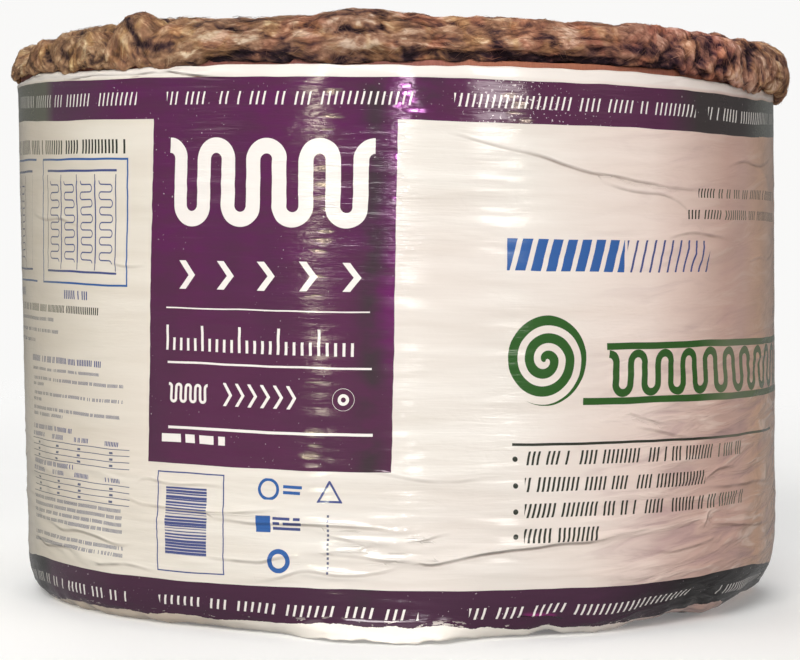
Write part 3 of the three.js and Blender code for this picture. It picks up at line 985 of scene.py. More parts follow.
def film_material():
    g = Graph("printed_film")
    uv = g.sep(g.uv("Print"))
    S = g.m("MULTIPLY", uv[0], 1000.0)
    Z = g.m("MULTIPLY", uv[1], 1000.0)
    a0 = g.sep(g.attr("m0").outputs["Vector"])
    a1 = g.sep(g.attr("m1").outputs["Vector"])
    a2 = g.sep(g.attr("m2").outputs["Vector"])
    kind = a0[2]
    U = g.m("SUBTRACT", S, a0[0])
    V = g.m("SUBTRACT", a0[1], Z)
    P, Hh, C = a1[0], a1[1], a1[2]
    # 1: rows of short strokes in groups
    line = g.m("FLOOR", g.m("DIVIDE", V, P))
    vv = g.m("SUBTRACT", V, g.m("MULTIPLY", line, P))
    uu = g.m("ADD", U, g.m("MULTIPLY", a2[0], vv))
    cell = g.m("DIVIDE", uu, C)
    ci = g.m("FLOOR", cell)
    fr = g.m("SUBTRACT", cell, ci)
    key = g.comb(g.m("ADD", ci, 0.5), g.m("ADD", line, g.m("FLOOR", g.m("MULTIPLY", a0[1], 3.0))), g.m("FLOOR", a0[0]))
    rnd = g.white(key)
    t1 = g.m("MULTIPLY", g.less(fr, a2[1]), g.less(vv, Hh))
    t1 = g.m("MULTIPLY", t1, g.more(rnd, a2[2]))
    # 2: a serpentine
    swap = g.more(a2[1], 0.5)
    fold = g.m("ADD", a2[2], g.m("MULTIPLY", g.less(a2[2], 0.5), 1000.0))
    y2 = g.m("SUBTRACT", g.mixf(swap, V, g.m("FLOORED_MODULO", U, fold)), a2[0])
    x2 = g.mixf(swap, U, V)
    back = g.m("MULTIPLY", g.less(y2, 0.0), g.m("MULTIPLY", P, 0.5))
    a = g.m("FLOORED_MODULO", g.m("ADD", x2, back), P)
    dx = g.m("SUBTRACT", a, g.m("MULTIPLY", P, 0.5))
    dy = g.m("MAXIMUM", g.m("SUBTRACT", g.m("ABSOLUTE", y2), Hh), 0.0)
    length = g.m("SQRT", g.m("ADD", g.m("MULTIPLY", dx, dx), g.m("MULTIPLY", dy, dy)))
    t2 = g.less(g.m("ABSOLUTE", g.m("SUBTRACT", length, g.m("MULTIPLY", P, 0.25))), C)
    stud = g.m("COMPARE", g.m("FLOORED_MODULO", U, fold), 18.2, 0.65)
    t2 = g.m("ADD", t2, g.m("MULTIPLY", stud, g.more(a2[2], 0.5)), clamp=True)
    # 3: rings, or a spiral
    ex, ey = g.m("SUBTRACT", U, a2[0]), g.m("SUBTRACT", V, a2[1])
    rad = g.m("SQRT", g.m("ADD", g.m("MULTIPLY", ex, ex), g.m("MULTIPLY", ey, ey)))
    ang = g.m("MULTIPLY", g.m("DIVIDE", g.m("ARCTAN2", ey, ex), 2 * math.pi), a2[2])
    tt = g.m("SUBTRACT", g.m("DIVIDE", rad, P), ang)
    dd = g.m("MULTIPLY", g.m("ABSOLUTE", g.m("SUBTRACT", g.m("FRACT", tt), 0.5)), P)
    t3 = g.m("MULTIPLY", g.less(dd, C), g.less(rad, Hh))
    # 4: chevrons
    x4 = g.m("SUBTRACT", g.m("FLOORED_MODULO", U, P), g.m("MULTIPLY", P, 0.62))
    t4 = g.less(g.m("ABSOLUTE", g.m("ADD", x4, g.m("MULTIPLY", g.m("ABSOLUTE", g.m("SUBTRACT", V, a2[0])), Hh))), C)
    # 5: a scale
    i5 = g.m("FLOOR", g.m("DIVIDE", U, P))
    major = g.less(g.m("FLOORED_MODULO", i5, a2[0]), 0.5)
    tall = g.mixf(major, a2[1], 1.0)
    t5 = g.m("MULTIPLY", g.less(g.m("FRACT", g.m("DIVIDE", U, P)), C), g.more(V, g.m("MULTIPLY", Hh, g.m("SUBTRACT", 1.0, tall))))
    # 6: bars of chance widths, lying flat
    t6 = g.m("ADD", 0.14, g.m("MULTIPLY", g.less(g.m("FRACT", g.m("DIVIDE", V, P)), g.m("ADD", 0.22, g.m("MULTIPLY", g.white(g.comb(g.m("FLOOR", g.m("DIVIDE", V, P)), 3.5, 7.5)), 0.72))), 0.86))
    # 8: a plain triangle
    up_ = g.m("SUBTRACT", a2[1], V)
    tri = g.m("MAXIMUM", g.m("ADD", g.m("MULTIPLY", g.m("ABSOLUTE", ex), 0.866), g.m("MULTIPLY", up_, 0.5)), g.m("MULTIPLY", up_, -1.0))
    t8 = g.less(g.m("ABSOLUTE", g.m("SUBTRACT", tri, P)), Hh)
    # 9: level lines; 10: a frame; 11: level lines with a dash between each pair
    f9 = g.m("FRACT", g.m("DIVIDE", V, P))
    t9 = g.less(f9, C)
    side_u = g.m("MINIMUM", U, g.m("SUBTRACT", P, U))
    side_v = g.m("MINIMUM", V, g.m("SUBTRACT", Hh, V))
    t10 = g.less(g.m("MINIMUM", side_u, side_v), C)
    t11 = g.m("ADD", t9, g.m("MULTIPLY", g.more(f9, a2[0]), g.less(f9, a2[1])), clamp=True)
    total = None
    for k, t in ((1, t1), (2, t2), (3, t3), (4, t4), (5, t5), (6, t6), (8, t8), (9, t9), (10, t10), (11, t11)):
        part = g.m("MULTIPLY", g.is_type(kind, k), t)
        total = part if total is None else g.m("ADD", total, part)
    total = g.m("ADD", total, g.is_type(kind, 7), clamp=True)

    # colours
    pos = g.coords()
    px = g.sep(pos)
    cd = g.attr("crease_d").outputs["Fac"]
    ca = g.attr("crease_a").outputs["Fac"]

    def hill(centre, width):
        d = g.m("DIVIDE", g.m("SUBTRACT", cd, centre), width)
        return g.m("EXPONENT", g.m("MULTIPLY", g.m("MULTIPLY", d, d), -1.0))

    flow = g.comb(g.m("MULTIPLY", uv[0], 6.0), g.m("MULTIPLY", uv[1], 60.0), 0.0)
    tone = g.noise(flow, 1.0, 3.0, 0.55)
    tone2 = g.noise(pos, 7.0, 3.0, 0.5)
    film = g.mix(g.span(tone, 0.3, 0.7), FILM_A, FILM_B)
    film = g.mix(g.m("MULTIPLY", g.span(tone2, 0.42, 0.72), 0.35), film, FILM_C)
    near = g.span(px[1], 0.16, -0.03, 0.15, 1.0)
    # painted light: the left of the film tinted yellow-cream, the colour cast of the light there
    yellow = g.m("MULTIPLY", g.span(px[0], -0.05, -0.25), 0.55)
    film = g.mix(yellow, film, srgb(222, 212, 190))
    # painted shade: the far left edge of the film darkened and greyed
    film = g.mix(g.span(px[0], -0.19, -0.24), film, g.mix(1.0, film, (0.9, 0.885, 0.865), "MULTIPLY"))
    # painted shade: the foot at the lower left darkened to beige
    film = g.mix(g.m("MULTIPLY", g.m("MULTIPLY", g.span(Z, 13.0, 9.0), g.span(px[0], -0.06, -0.14)), 0.55), film, srgb(196, 172, 150))
    # painted light and shade: the right of the front tinted pink, darker towards its edge and its bottom, with a paler
    # stripe near the edge
    film = g.mix(g.m("MULTIPLY", g.m("MULTIPLY", g.span(px[0], 0.07, 0.17), near), 0.7), film, srgb(237, 212, 202))
    film = g.mix(g.m("MULTIPLY", g.m("MULTIPLY", g.span(px[0], 0.12, 0.2), near), g.span(Z, 190.0, 60.0, 0.0, 0.82)), film, srgb(196, 163, 154))
    film = g.mix(g.m("MULTIPLY", g.m("MULTIPLY", g.span(px[0], 0.158, 0.212), near), 0.9), film, g.mix(g.span(px[0], 0.225, 0.24), srgb(197, 161, 148), srgb(204, 164, 138)))
    film = g.mix(g.m("MULTIPLY", g.m("MULTIPLY", g.span(px[0], 0.242, 0.248), g.span(px[0], 0.258, 0.252)), 0.5), film, srgb(214, 184, 166))
    # painted light: the plain margin above the top band lightened
    film = g.mix(g.m("MULTIPLY", g.span(Z, 346.0, 349.0), 0.75), film, srgb(242, 235, 230))
    # painted light: the foot at the front lightened
    film = g.mix(g.m("MULTIPLY", g.span(Z, 13.0, 9.0), g.m("MULTIPLY", g.span(px[0], -0.12, -0.04), g.span(px[0], 0.16, 0.1))), film, srgb(250, 243, 234))
    # slack film at the right lies in soft wrinkles that rise to the right; their shade and highlights are painted into
    # the colour, mauve in the hollows and pale on the tops, as well as bumped
    wr_u = g.m("ADD", uv[0], g.m("MULTIPLY", uv[1], 0.1))
    wr_v = g.m("SUBTRACT", uv[1], g.m("MULTIPLY", uv[0], 0.1))
    wrinkle = g.noise(g.comb(g.m("MULTIPLY", wr_u, 19.0), g.m("MULTIPLY", wr_v, 92.0), 13.0), 1.0, 3.0, 0.55, 0.7)
    slack = g.m("MULTIPLY", g.span(px[0], 0.1, 0.17), g.span(Z, 205.0, 130.0, 0.3, 1.0))
    film = g.mix(g.m("MULTIPLY", g.m("MULTIPLY", g.span(wrinkle, 0.53, 0.66), slack), 0.5), film, srgb(166, 134, 136))
    film = g.mix(g.m("MULTIPLY", g.m("MULTIPLY", g.span(wrinkle, 0.46, 0.34), slack), 0.42), film, srgb(242, 224, 212))
    # painted shade: a dark line just under each crease, stronger on the upper creases
    crease_shade = g.m("MULTIPLY", g.m("MULTIPLY", hill(-1.7, 0.75), ca), g.span(Z, 246.0, 262.0, 0.34, 0.8), clamp=True)
    film = g.mix(crease_shade, film, srgb(120, 92, 78))
    # ink is thinner here and there; where the print turns away at the sides it is painted grey, a painted reflection
    # and painted shade

    def at(centre, width):
        d = g.m("DIVIDE", g.m("SUBTRACT", S, centre), width)
        return g.m("EXPONENT", g.m("MULTIPLY", g.m("MULTIPLY", d, d), -1.0))

    worn = g.noise(g.comb(g.m("MULTIPLY", uv[0], 30.0), g.m("MULTIPLY", uv[1], 90.0), 2.0), 1.0, 4.0, 0.6)
    base_ink = g.attr("ink").outputs["Color"]
    glint_fringe = g.m("MULTIPLY", g.m("MULTIPLY", at(-3.0, 9.0), g.span(Z, 150.0, 190.0)), g.span(worn, 0.42, 0.6, 0.25, 1.0))
    ink = g.mix(g.m("MULTIPLY", g.span(worn, 0.35, 0.75), 0.5), base_ink, srgb(94, 43, 81))
    above = g.m("MULTIPLY", g.span(Z, 170.0, 250.0), g.span(S, 60.0, 10.0))
    ink = g.mix(g.m("MULTIPLY", g.m("MULTIPLY", above, g.m("ADD", 0.22, g.m("MULTIPLY", g.span(worn, 0.4, 0.7), 0.6))), g.attr("inked").outputs["Fac"]), ink, srgb(94, 31, 86))
    # painted highlight: the ink along the main glint's line tinted bright magenta
    ink = g.mix(g.m("MULTIPLY", glint_fringe, 0.7), ink, srgb(126, 26, 116))
    low_band = g.span(Z, 40.0, 34.0)
    ink = g.mix(g.m("MULTIPLY", low_band, 0.64), ink, srgb(62, 38, 56))
    dull = g.noise(g.comb(g.m("MULTIPLY", uv[0], 17.0), g.m("MULTIPLY", uv[1], 5.0), 11.0), 1.0, 2.0, 0.5)
    ink = g.mix(g.m("MULTIPLY", g.span(dull, 0.45, 0.66), 0.45), ink, srgb(70, 44, 64))
    # painted reflection: the ink at the far left greyed
    ink = g.mix(g.m("MULTIPLY", g.span(px[0], -0.176, -0.212), 0.55), ink, srgb(78, 58, 72))
    top_band = g.more(Z, 319.0)
    # painted reflection: dark grey patches in the ink beside the main glint
    patchy = g.span(g.noise(g.comb(g.m("MULTIPLY", uv[0], 26.0), g.m("MULTIPLY", uv[1], 40.0), 21.0), 1.0, 3.0, 0.6), 0.38, 0.56)
    dark = g.m("MULTIPLY", g.m("ADD", at(-17.0, 8.0), g.m("MULTIPLY", g.m("MULTIPLY", at(16.0, 10.0), top_band), 0.9), clamp=True), patchy)
    ink = g.mix(g.m("MULTIPLY", dark, 0.7), ink, srgb(54, 52, 50))
    # painted reflection and shade: the ink at both sides turns grey, dark grey at the right and near black in the
    # lower band, mostly on the front
    side_low = g.m("MULTIPLY", g.span(px[0], 0.125, 0.188), low_band)
    side = g.m("MULTIPLY", g.m("MAXIMUM", g.m("ADD", g.span(px[0], 0.166, 0.19), g.span(px[0], -0.228, -0.236), clamp=True), side_low), g.span(px[1], 0.12, -0.02, 0.1, 1.0))
    grey = g.mix(g.span(px[0], 0.226, 0.244), srgb(58, 54, 52), srgb(106, 111, 103))
    grey = g.mix(g.span(px[0], -0.18, -0.23), grey, srgb(96, 98, 84))
    grey = g.mix(low_band, grey, srgb(20, 20, 18))
    ink = g.mix(g.m("MULTIPLY", side, 0.93), ink, grey)
    markc = g.attr("mark").outputs["Color"]
    # painted reflection: the marks turn grey at the sides the same way
    keep = g.m("SUBTRACT", 1.0, g.m("MULTIPLY", g.attr("inked").outputs["Fac"], g.span(px[0], 0.246, 0.238)))
    mark_side = g.mix(g.m("ADD", g.m("MULTIPLY", g.span(px[0], -0.215, -0.236), 0.45), g.m("MULTIPLY", g.m("MULTIPLY", g.span(px[0], 0.192, 0.214), 0.42), keep), clamp=True), markc, srgb(138, 138, 118))
    flecks = g.noise(g.comb(g.m("MULTIPLY", uv[0], 560.0), g.m("MULTIPLY", uv[1], 560.0), 5.0), 1.0, 1.0, 0.5)
    zone = g.span(g.noise(g.comb(g.m("MULTIPLY", uv[0], 12.0), g.m("MULTIPLY", uv[1], 12.0), 9.0), 1.0, 2.0, 0.5), 0.46, 0.62)
    busy = g.m("MULTIPLY", at(68.0, 40.0), top_band)
    fleck = g.m("MULTIPLY", g.more(flecks, g.m("SUBTRACT", 0.745, g.m("MULTIPLY", busy, 0.09))), g.m("ADD", zone, busy, clamp=True))
    # painted highlight: bright magenta along the crest of a crease in the lower band
    ink = g.mix(g.m("MULTIPLY", g.m("MULTIPLY", hill(0.4, 1.2), g.span(ca, 0.7, 1.2)), g.m("MULTIPLY", at(95.0, 20.0), g.span(Z, 22.0, 19.0))), ink, srgb(150, 36, 118))
    hem = g.attr("hem").outputs["Fac"]
    jag = g.noise(g.comb(g.m("MULTIPLY", uv[0], 70.0), g.m("MULTIPLY", uv[1], 130.0), 6.0), 1.0, 4.0, 0.7)
    clear = g.m("MAXIMUM", g.more(Z, g.m("ADD", hem, g.span(jag, 0.25, 0.75, -1.3, 1.3))), g.more(Z, 34.0))
    inked = g.m("MULTIPLY", g.attr("inked").outputs["Fac"], clear)
    colour = g.mix(inked, film, ink)
    colour = g.mix(g.m("MULTIPLY", g.m("MULTIPLY", fleck, inked), 0.75), colour, srgb(220, 205, 212))
    nick = g.noise(g.comb(g.m("MULTIPLY", uv[0], 90.0), g.m("MULTIPLY", uv[1], 260.0), 6.0), 1.0, 3.0, 0.65)
    nicked = g.m("MULTIPLY", g.m("MULTIPLY", g.span(g.m("SUBTRACT", Z, hem), 5.0, 1.5), g.more(nick, g.m("SUBTRACT", 0.62, g.m("MULTIPLY", at(33.0, 16.0), 0.1)))), g.m("MULTIPLY", inked, g.m("SUBTRACT", 1.0, side_low)))
    colour = g.mix(g.m("MULTIPLY", nicked, 0.8), colour, srgb(222, 212, 204))
    colour = g.mix(g.m("MULTIPLY", total, 0.97), colour, mark_side)
    # relief finer than the mesh, mm
    streak = g.comb(g.m("MULTIPLY", uv[0], 34.0), g.m("MULTIPLY", uv[1], 420.0), 0.0)
    h1 = g.noise(streak, 1.0, 3.0, 0.6, 0.4)
    h2 = g.noise(g.comb(g.m("MULTIPLY", uv[0], 150.0), g.m("MULTIPLY", uv[1], 300.0), 4.0), 1.0, 2.0, 0.5)
    h3 = g.noise(g.comb(g.m("MULTIPLY", uv[0], 90.0), g.m("MULTIPLY", uv[1], 120.0), 8.0), 1.0, 2.0, 0.5, 0.8)
    crisp = g.span(g.noise(g.comb(g.m("MULTIPLY", uv[0], 9.0), g.m("MULTIPLY", uv[1], 9.0), 12.0), 1.0, 2.0, 0.5), 0.4, 0.66, 0.35, 1.25)
    fine = g.m("ADD", g.m("MULTIPLY", h1, 0.26), g.m("ADD", g.m("MULTIPLY", h2, 0.06), g.m("MULTIPLY", h3, 0.16)))
    ridge = g.m("SUBTRACT", g.m("MULTIPLY", hill(0.0, 0.95), 0.7), g.m("MULTIPLY", hill(-1.8, 1.0), 0.4))
    height = g.m("ADD", g.m("MULTIPLY", fine, crisp), g.m("MULTIPLY", ridge, ca))
    height = g.m("SUBTRACT", height, g.m("MULTIPLY", g.m("MULTIPLY", wrinkle, slack), 3.1))
    here = g.comb(g.m("MULTIPLY_ADD", g.m("SUBTRACT", h2, 0.5), 9.0, S), g.m("MULTIPLY_ADD", g.m("SUBTRACT", h1, 0.5), 7.0, Z))
    dents, cover, outer_glint_paint = 0.0, 0.0, 0.0
    for n, (s0, z0, ws, wz, along, up) in enumerate(DENTS + DENTS_MID):
        if n == len(DENTS):
            outer_glint_paint = cover
        off = g.vmad(here, (1 / ws, 1 / wz, 0.0), (-s0 / ws, -z0 / wz, 0.0))
        q = g.dot(off)
        win = g.m("POWER", 0.3678794, g.m("MULTIPLY", q, q))
        dents = g.m("MULTIPLY_ADD", g.dot(off, (along * ws, up * wz, 0.0)), win, dents)
        cover = g.m("ADD", cover, win, clamp=True)
    height = g.m("ADD", g.m("MULTIPLY", height, g.m("SUBTRACT", 1.0, g.m("MULTIPLY", cover, 0.6))), dents)
    bump = g.bump(height, 1.0, 0.001)
    rough = g.m("ADD", 0.11, g.m("MULTIPLY", g.span(tone2, 0.3, 0.7), 0.07))
    rough = g.m("MULTIPLY", rough, g.m("SUBTRACT", 1.0, g.m("MULTIPLY", cover, 0.15)))
    mid_glint_paint = g.m("SUBTRACT", cover, outer_glint_paint, clamp=True)
    on_ink = g.m("MULTIPLY", inked, g.m("SUBTRACT", 1.0, total, clamp=True))
    foil = g.m("ADD", 0.06, g.m("MULTIPLY", glint_fringe, 0.14))
    # the dents' ink is painted with glint colours, pale yellow on the outer ones and magenta on the middle ones: a
    # painted highlight
    colour = g.mix(g.m("MULTIPLY", g.m("MULTIPLY", outer_glint_paint, on_ink), 0.2), colour, srgb(214, 214, 176))
    colour = g.mix(g.m("MULTIPLY", g.m("MULTIPLY", mid_glint_paint, on_ink), 0.4), colour, srgb(200, 110, 198))
    foil = g.m("MAXIMUM", foil, g.m("MULTIPLY", cover, 0.4))
    g.set(Base_Color=colour, Roughness=rough, Normal=bump, Metallic=g.m("MULTIPLY", on_ink, foil))
    g.bsdf.inputs["IOR"].default_value = 1.5
    g.bsdf.inputs["Specular IOR Level"].default_value = 0.55
    return g.mat


# ---------------------------------------------------------------- wool: the spiral
def turn_radius(k, th):
    """Radius of the face between turn k and turn k+1 (k from 0 outside), at angle th from the seam, 0 to 2 pi."""
    w_slow = th / (2 * math.pi)
    fast = smooth(0.0, 0.42, th) * 0.86 + 0.14 * w_slow
    blend = min(max((k - 1) / 3.0, 0.0), 1.0)
    w = fast * (1 - blend) + w_slow * blend
    return WOOL_R - PITCH * (k - 1 + w)


def buckle(r, th):
    """Waviness of the turns, in mm, shared by the wool and the paper."""
    X = th / (2 * math.pi)
    amp = smooth(14, 60, r) * smooth(262, 236, r)
    return amp * (2.6 * perlin(X * 9, r / 55.0, 61, 9) + 1.1 * perlin(X * 26, r / 28.0, 62, 26))


def crest(r, th):
    """Height of the rolled wool's end, mm, before its grooves."""
    X = th / (2 * math.pi)
    base = np.interp(r, [15, 60, 120, 180, 240, 262], [376.5, 379.0, 381.0, 382.0, 383.0, 382.0])
    return base + 2.4 * perlin(X * 7, r / 60.0, 63, 7) + 1.3 * perlin(X * 22, r / 24.0, 64, 22)


# rim heights and overhang, from the front round; degrees and mm
RIM_TOP = [(-180, 382.0), (-150, 384.0), (-120, 381.0), (-90, 379.0), (-80, 362.3), (-74, 362.6), (-69, 362.7), (-65, 372.9), (-61, 377.0), (-58, 371.4), 
           (-55, 375.9), (-52, 375.6), (-49.5, 375.0), (-47, 378.5), (-45, 372.8), (-43.5, 369.4), (-42, 376.9), (-40.5, 386.7), (-39, 388.7), (-37.5, 385.5), 
           (-36, 383.2), (-34.5, 378.3), (-33, 379.7), (-31, 380.0), (-29, 379.4), (-26.5, 380.2), (-24, 379.6), (-21, 380.8), (-18, 380.8), (-15, 380.9), 
           (-12, 382.9), (-9, 386.1), (-6, 387.5), (-3, 386.5), (0, 384.3), (3, 385.2), (6, 382.2), (9, 382.7), (12, 383.3), (15, 383.8), (18, 384.1), 
           (21, 384.4), (24, 382.6), (27, 384.0), (30, 383.9), (33, 383.0), (36, 384.9), (39, 384.9), (42, 382.1), (45, 382.1), (48, 379.8), (51, 382.8), 
           (54, 383.7), (58, 379.6), (62, 381.6), (66, 380.7), (70, 376.4), (75, 382.9), (80, 384.1), (110, 384.0), (145, 381.0), (180, 382.0)]
RIM_OUT = [(-180, 6.0), (-140, 7.0), (-110, 5.0), (-90, 3.0), (-70, 2.8), (-45, 4.6), (-10, 5.2), (20, 5.6), (40, 7.0), (60, 8.6), (80, 8.4), (95, 7.0), (120, 6.0), (150, 7.0), (180, 6.0)]
RIM_SAG = [(-180, 2.0), (-120, 4.0), (-100, 9.0), (-82, 4.5), (-76, 6.0), (-70, 5.5), (-64, 5.5), (-58, 6.3), (-53, 8.1), (-48, 6.7), (-44, 5.8), (-40, 8.1), 
           (-36, 7.9), (-32, 9.0), (-29, 7.6), (-26, 3.0), (-22, 2.9), (-18, 4.2), (-14, 6.0), (-10, 5.6), (-6, 4.6), (-2, 2.2), (2, 2.0), (6, 1.6), (10, 2.2), 
           (14, 1.4), (18, 0.1), (22, 0.1), (26, -2.1), (30, -1.1), (34, 1.5), (38, 2.3), (42, 4.0), (46, 4.4), (50, 3.7), (54, 5.4), (58, 9.7), (62, 11.0), 
           (66, 6.5), (70, 9.2), (75, 9.0), (80, 9.5), (90, 14.0), (110, 6.0), (150, 2.5), (180, 2.0)]


def zones(deg):
    mid = smooth(-38, -22, deg) * smooth(42, 24, deg)
    rite = smooth(24, 42, deg) * smooth(104, 84, deg)
    left = smooth(-22, -38, deg) * smooth(-106, -86, deg)
    rest = np.clip(1 - mid - rite - left, 0, 1)
    X = deg / 360.0 + 0.5
    a = smooth(-0.25, 0.25, perlin(X * 11, 0.5, 81, 11))
    b = smooth(-0.1, 0.4, perlin(X * 13, 4.5, 82, 13))
    return mid + rest * a * (1 - b), rite + rest * b, left + rest * (1 - a) * (1 - b)


def ridged(x, y, seed, px=0):
    return 1.0 - 2.0 * np.abs(perlin(x, y, seed, px))


# clefts, recessed and painted dark as shade, and raised wisps, painted pale as highlight, in the rim: (half width mm,
# strength, points along the edge and up the section, mm)
CLEFTS = [
    (2.2, 0.50, [(-198.5, 43), (-167.4, 22.4), (-151.1, 22.4), (-142.2, 24.1)]),
    (2.2, 0.75, [(-120, 9.5), (-109.6, 11.2), (-96.3, 13.8), (-84.4, 15.5), (-66.6, 14.6), (-47.4, 0), (-35.5, 5.2)]),
    (0.9, 0.40, [(-97.7, 14.6), (-88.9, 19.8), (-82.9, 23.2), (-78.5, 24.1), (-68.1, 23.2)]),
    (1.0, 0.35, [(-118.5, 32.7), (-106.6, 31.8), (-94.8, 27.5), (-88.9, 30.1)]),
    (1.4, 0.35, [(-80, 30.1), (-66.6, 31), (-57.8, 30.1), (-45.9, 27.5)]),
    (1.4, 0.80, [(-32.6, 25.8), (-25.2, 24.9), (-19.3, 24.9), (-10.4, 24.9), (-5.9, 26.7)]),
    (1.1, 0.45, [(-5.9, 25.8), (0, 24.9), (4.4, 25.8)]),
    (1.2, 0.50, [(5.9, 27.5), (14.8, 28.4), (28.1, 33.5), (37, 34.4)]),
    (3.4, 0.40, [(-78.5, 17.2), (-63.7, 17.2), (-50.4, 17.2), (-38.5, 14.6)]),
    (1.9, 0.40, [(-26.7, 14.6), (-17.8, 14.6), (-11.8, 15.5), (-8.9, 12.9), (-5.9, 11.2)]),
    (1.6, 0.45, [(1.5, 19.8), (4.4, 16.3), (5.9, 12.9), (8.9, 12)]),
    (1.9, 0.60, [(11.8, 12.9), (23.7, 13.8), (32.6, 14.6), (40, 13.8), (51.8, 12.9), (65.2, 12), (84.4, 8.6)]),
    (2.2, 0.60, [(59.2, 24.9), (60.7, 20.6), (63.7, 15.5), (66.6, 11.2)]),
    (0.9, 0.40, [(17.8, 21.5), (25.2, 22.4), (29.6, 24.1)]),
    (1.1, 0.65, [(68.1, 11.2), (80, 0.9), (96.3, 7.7), (103.7, 11.2), (115.5, 9.5), (125.9, 9.5)]),
    (2.5, 0.55, [(128.9, 16.3), (136.3, 18.9), (146.6, 19.8), (157, 18.9), (167.4, 17.2)]),
    (1.6, 0.65, [(131.8, 10.3), (152.5, 12.9), (176.2, 12)]),
    (0.8, 0.40, [(117, 24.1), (128.9, 23.2), (137.7, 23.2)]),
    (0.9, 0.40, [(151.1, 31.8), (151.1, 27.5), (149.6, 24.9)]),
    (2.0, 0.50, [(167.4, 24.1), (170.3, 19.8), (177.7, 16.3)]),
    (1.9, 0.40, [(183.6, 16.3), (198.5, 16.3), (207.3, 15.5)]),
    (1.6, 0.60, [(222.2, 43), (205.9, 27.5), (210.3, 24.1), (208.8, 18.9)]),
    (2.5, 1.00, [(229.6, 16.3), (235.5, 18.9), (242.9, 18.9), (248.8, 21.5)]),
    (2.2, 0.55, [(235.5, 28.4), (238.4, 24.1), (238.4, 19.8)]),
    (2.5, 0.95, [(327.3, 49), (271, 27.5), (265.1, 22.4), (263.6, 19.8)]),
    (0.9, 0.50, [(222.2, 31), (223.6, 24.9), (220.7, 19.8)]),
    (1.5, 0.70, [(275.5, 14.6), (282.9, 13.8), (314, 7.7)]),
    (0.9, 0.50, [(316.9, 25.8), (321.4, 22.4), (308.1, 14.6)]),
    (0.8, 0.40, [(322.9, 18.9), (339.2, 15.5)]),
    (1.0, 0.45, [(322.9, 34.4), (294.7, 22.4)]),
    (1.9, 0.45, [(228.1, 13.8), (223.6, 12)]),
    (1.9, 0.50, [(-275.5, 27.5), (-269.5, 24.1), (-263.6, 19.8)]),
    (2.2, 0.55, [(-245.9, 23.2), (-244.4, 20.6), (-235.5, 21.5), (-232.5, 24.1)]),
    (1.9, 0.45, [(-239.9, 6), (-219.2, 14.6)]),
    (1.5, 0.60, [(-214.8, 19.8), (-210.3, 18.9), (-213.3, 15.5), (-205.9, 16.3), (-199.9, 21.5)]),
    (0.9, 0.35, [(-191.1, 20.6), (-186.6, 17.2)]),
    (1.2, 0.40, [(-134.8, 12.9), (-130.3, 11.2), (-127.4, 6.9)]),
    (1.2, 0.40, [(-143.7, 19.8), (-136.3, 20.6), (-128.9, 18.9)]),
    (1.2, 0.30, [(-164.4, 17.2), (-161.4, 13.8)]),
    (1.2, 0.30, [(-229.6, 27.5), (-228.1, 31.8)]),
]
WISPS = [
    (2.0, 0.55, [(-72.6, 25.8), (-62.2, 28.4), (-53.3, 24.9)]),
    (2.1, 0.35, [(-112.6, 24.1), (-106.6, 26.7), (-94.8, 22.4), (-81.5, 24.9)]),
    (1.2, 0.50, [(-29.6, 18.9), (-25.2, 17.2), (-19.3, 17.2), (-11.8, 18.1), (-5.9, 19.8)]),
    (1.2, 0.35, [(-40, 22.4), (-31.1, 20.6), (-26.7, 19.8)]),
    (1.6, 0.30, [(5.9, 24.1), (14.8, 24.1), (20.7, 24.9)]),
    (2.2, 0.35, [(41.5, 33.5), (48.9, 30.1), (51.8, 26.7)]),
    (1.9, 0.20, [(35.5, 18.9), (51.8, 20.6), (56.3, 18.9)]),
    (1.9, 0.20, [(69.6, 18.9), (81.5, 16.3)]),
    (1.9, 0.30, [(105.2, 29.2), (108.1, 25.8)]),
    (2.2, 0.30, [(151.1, 29.2), (155.5, 25.8)]),
    (1.2, 0.30, [(188.1, 27.5), (188.1, 22.4), (191.1, 19.8)]),
    (0.7, 0.45, [(204.4, 38.7), (199.9, 30.1), (198.5, 24.1)]),
    (0.7, 0.60, [(251.8, 34.4), (260.7, 33.5), (250.3, 23.2), (251.8, 18.9), (281.4, 1.7)]),
    (1.6, 0.60, [(257.7, 6), (244.4, 14.6), (257.7, 12), (285.8, 5.2), (269.5, 12)]),
    (1.6, 0.40, [(282.9, 21.5), (290.3, 18.9), (300.7, 15.5)]),
    (1.2, 0.40, [(334.7, 29.2), (328.8, 24.1), (324.3, 18.9)]),
    (0.6, 0.50, [(-219.2, 18.9), (-226.6, 6), (-219.2, 10.3)]),
    (1.0, 0.35, [(-176.2, 19.8), (-174.8, 18.9)]),
    (1.6, 0.25, [(-167.4, 34.4), (-164.4, 37.8)]),
    (1.9, 0.25, [(207.3, 22.4), (214.8, 19.8), (219.2, 11.2), (205.9, 12)]),
    (1.9, 0.20, [(-302.1, 32.7), (-388, 42.1), (-321.4, 26.7)]),
    (1.2, 0.30, [(-133.3, 17.2), (-125.9, 16.3), (-118.5, 15.5)]),
    (1.2, 0.25, [(-210.3, 36.1), (-214.8, 26.7), (-217.7, 22.4)]),
]


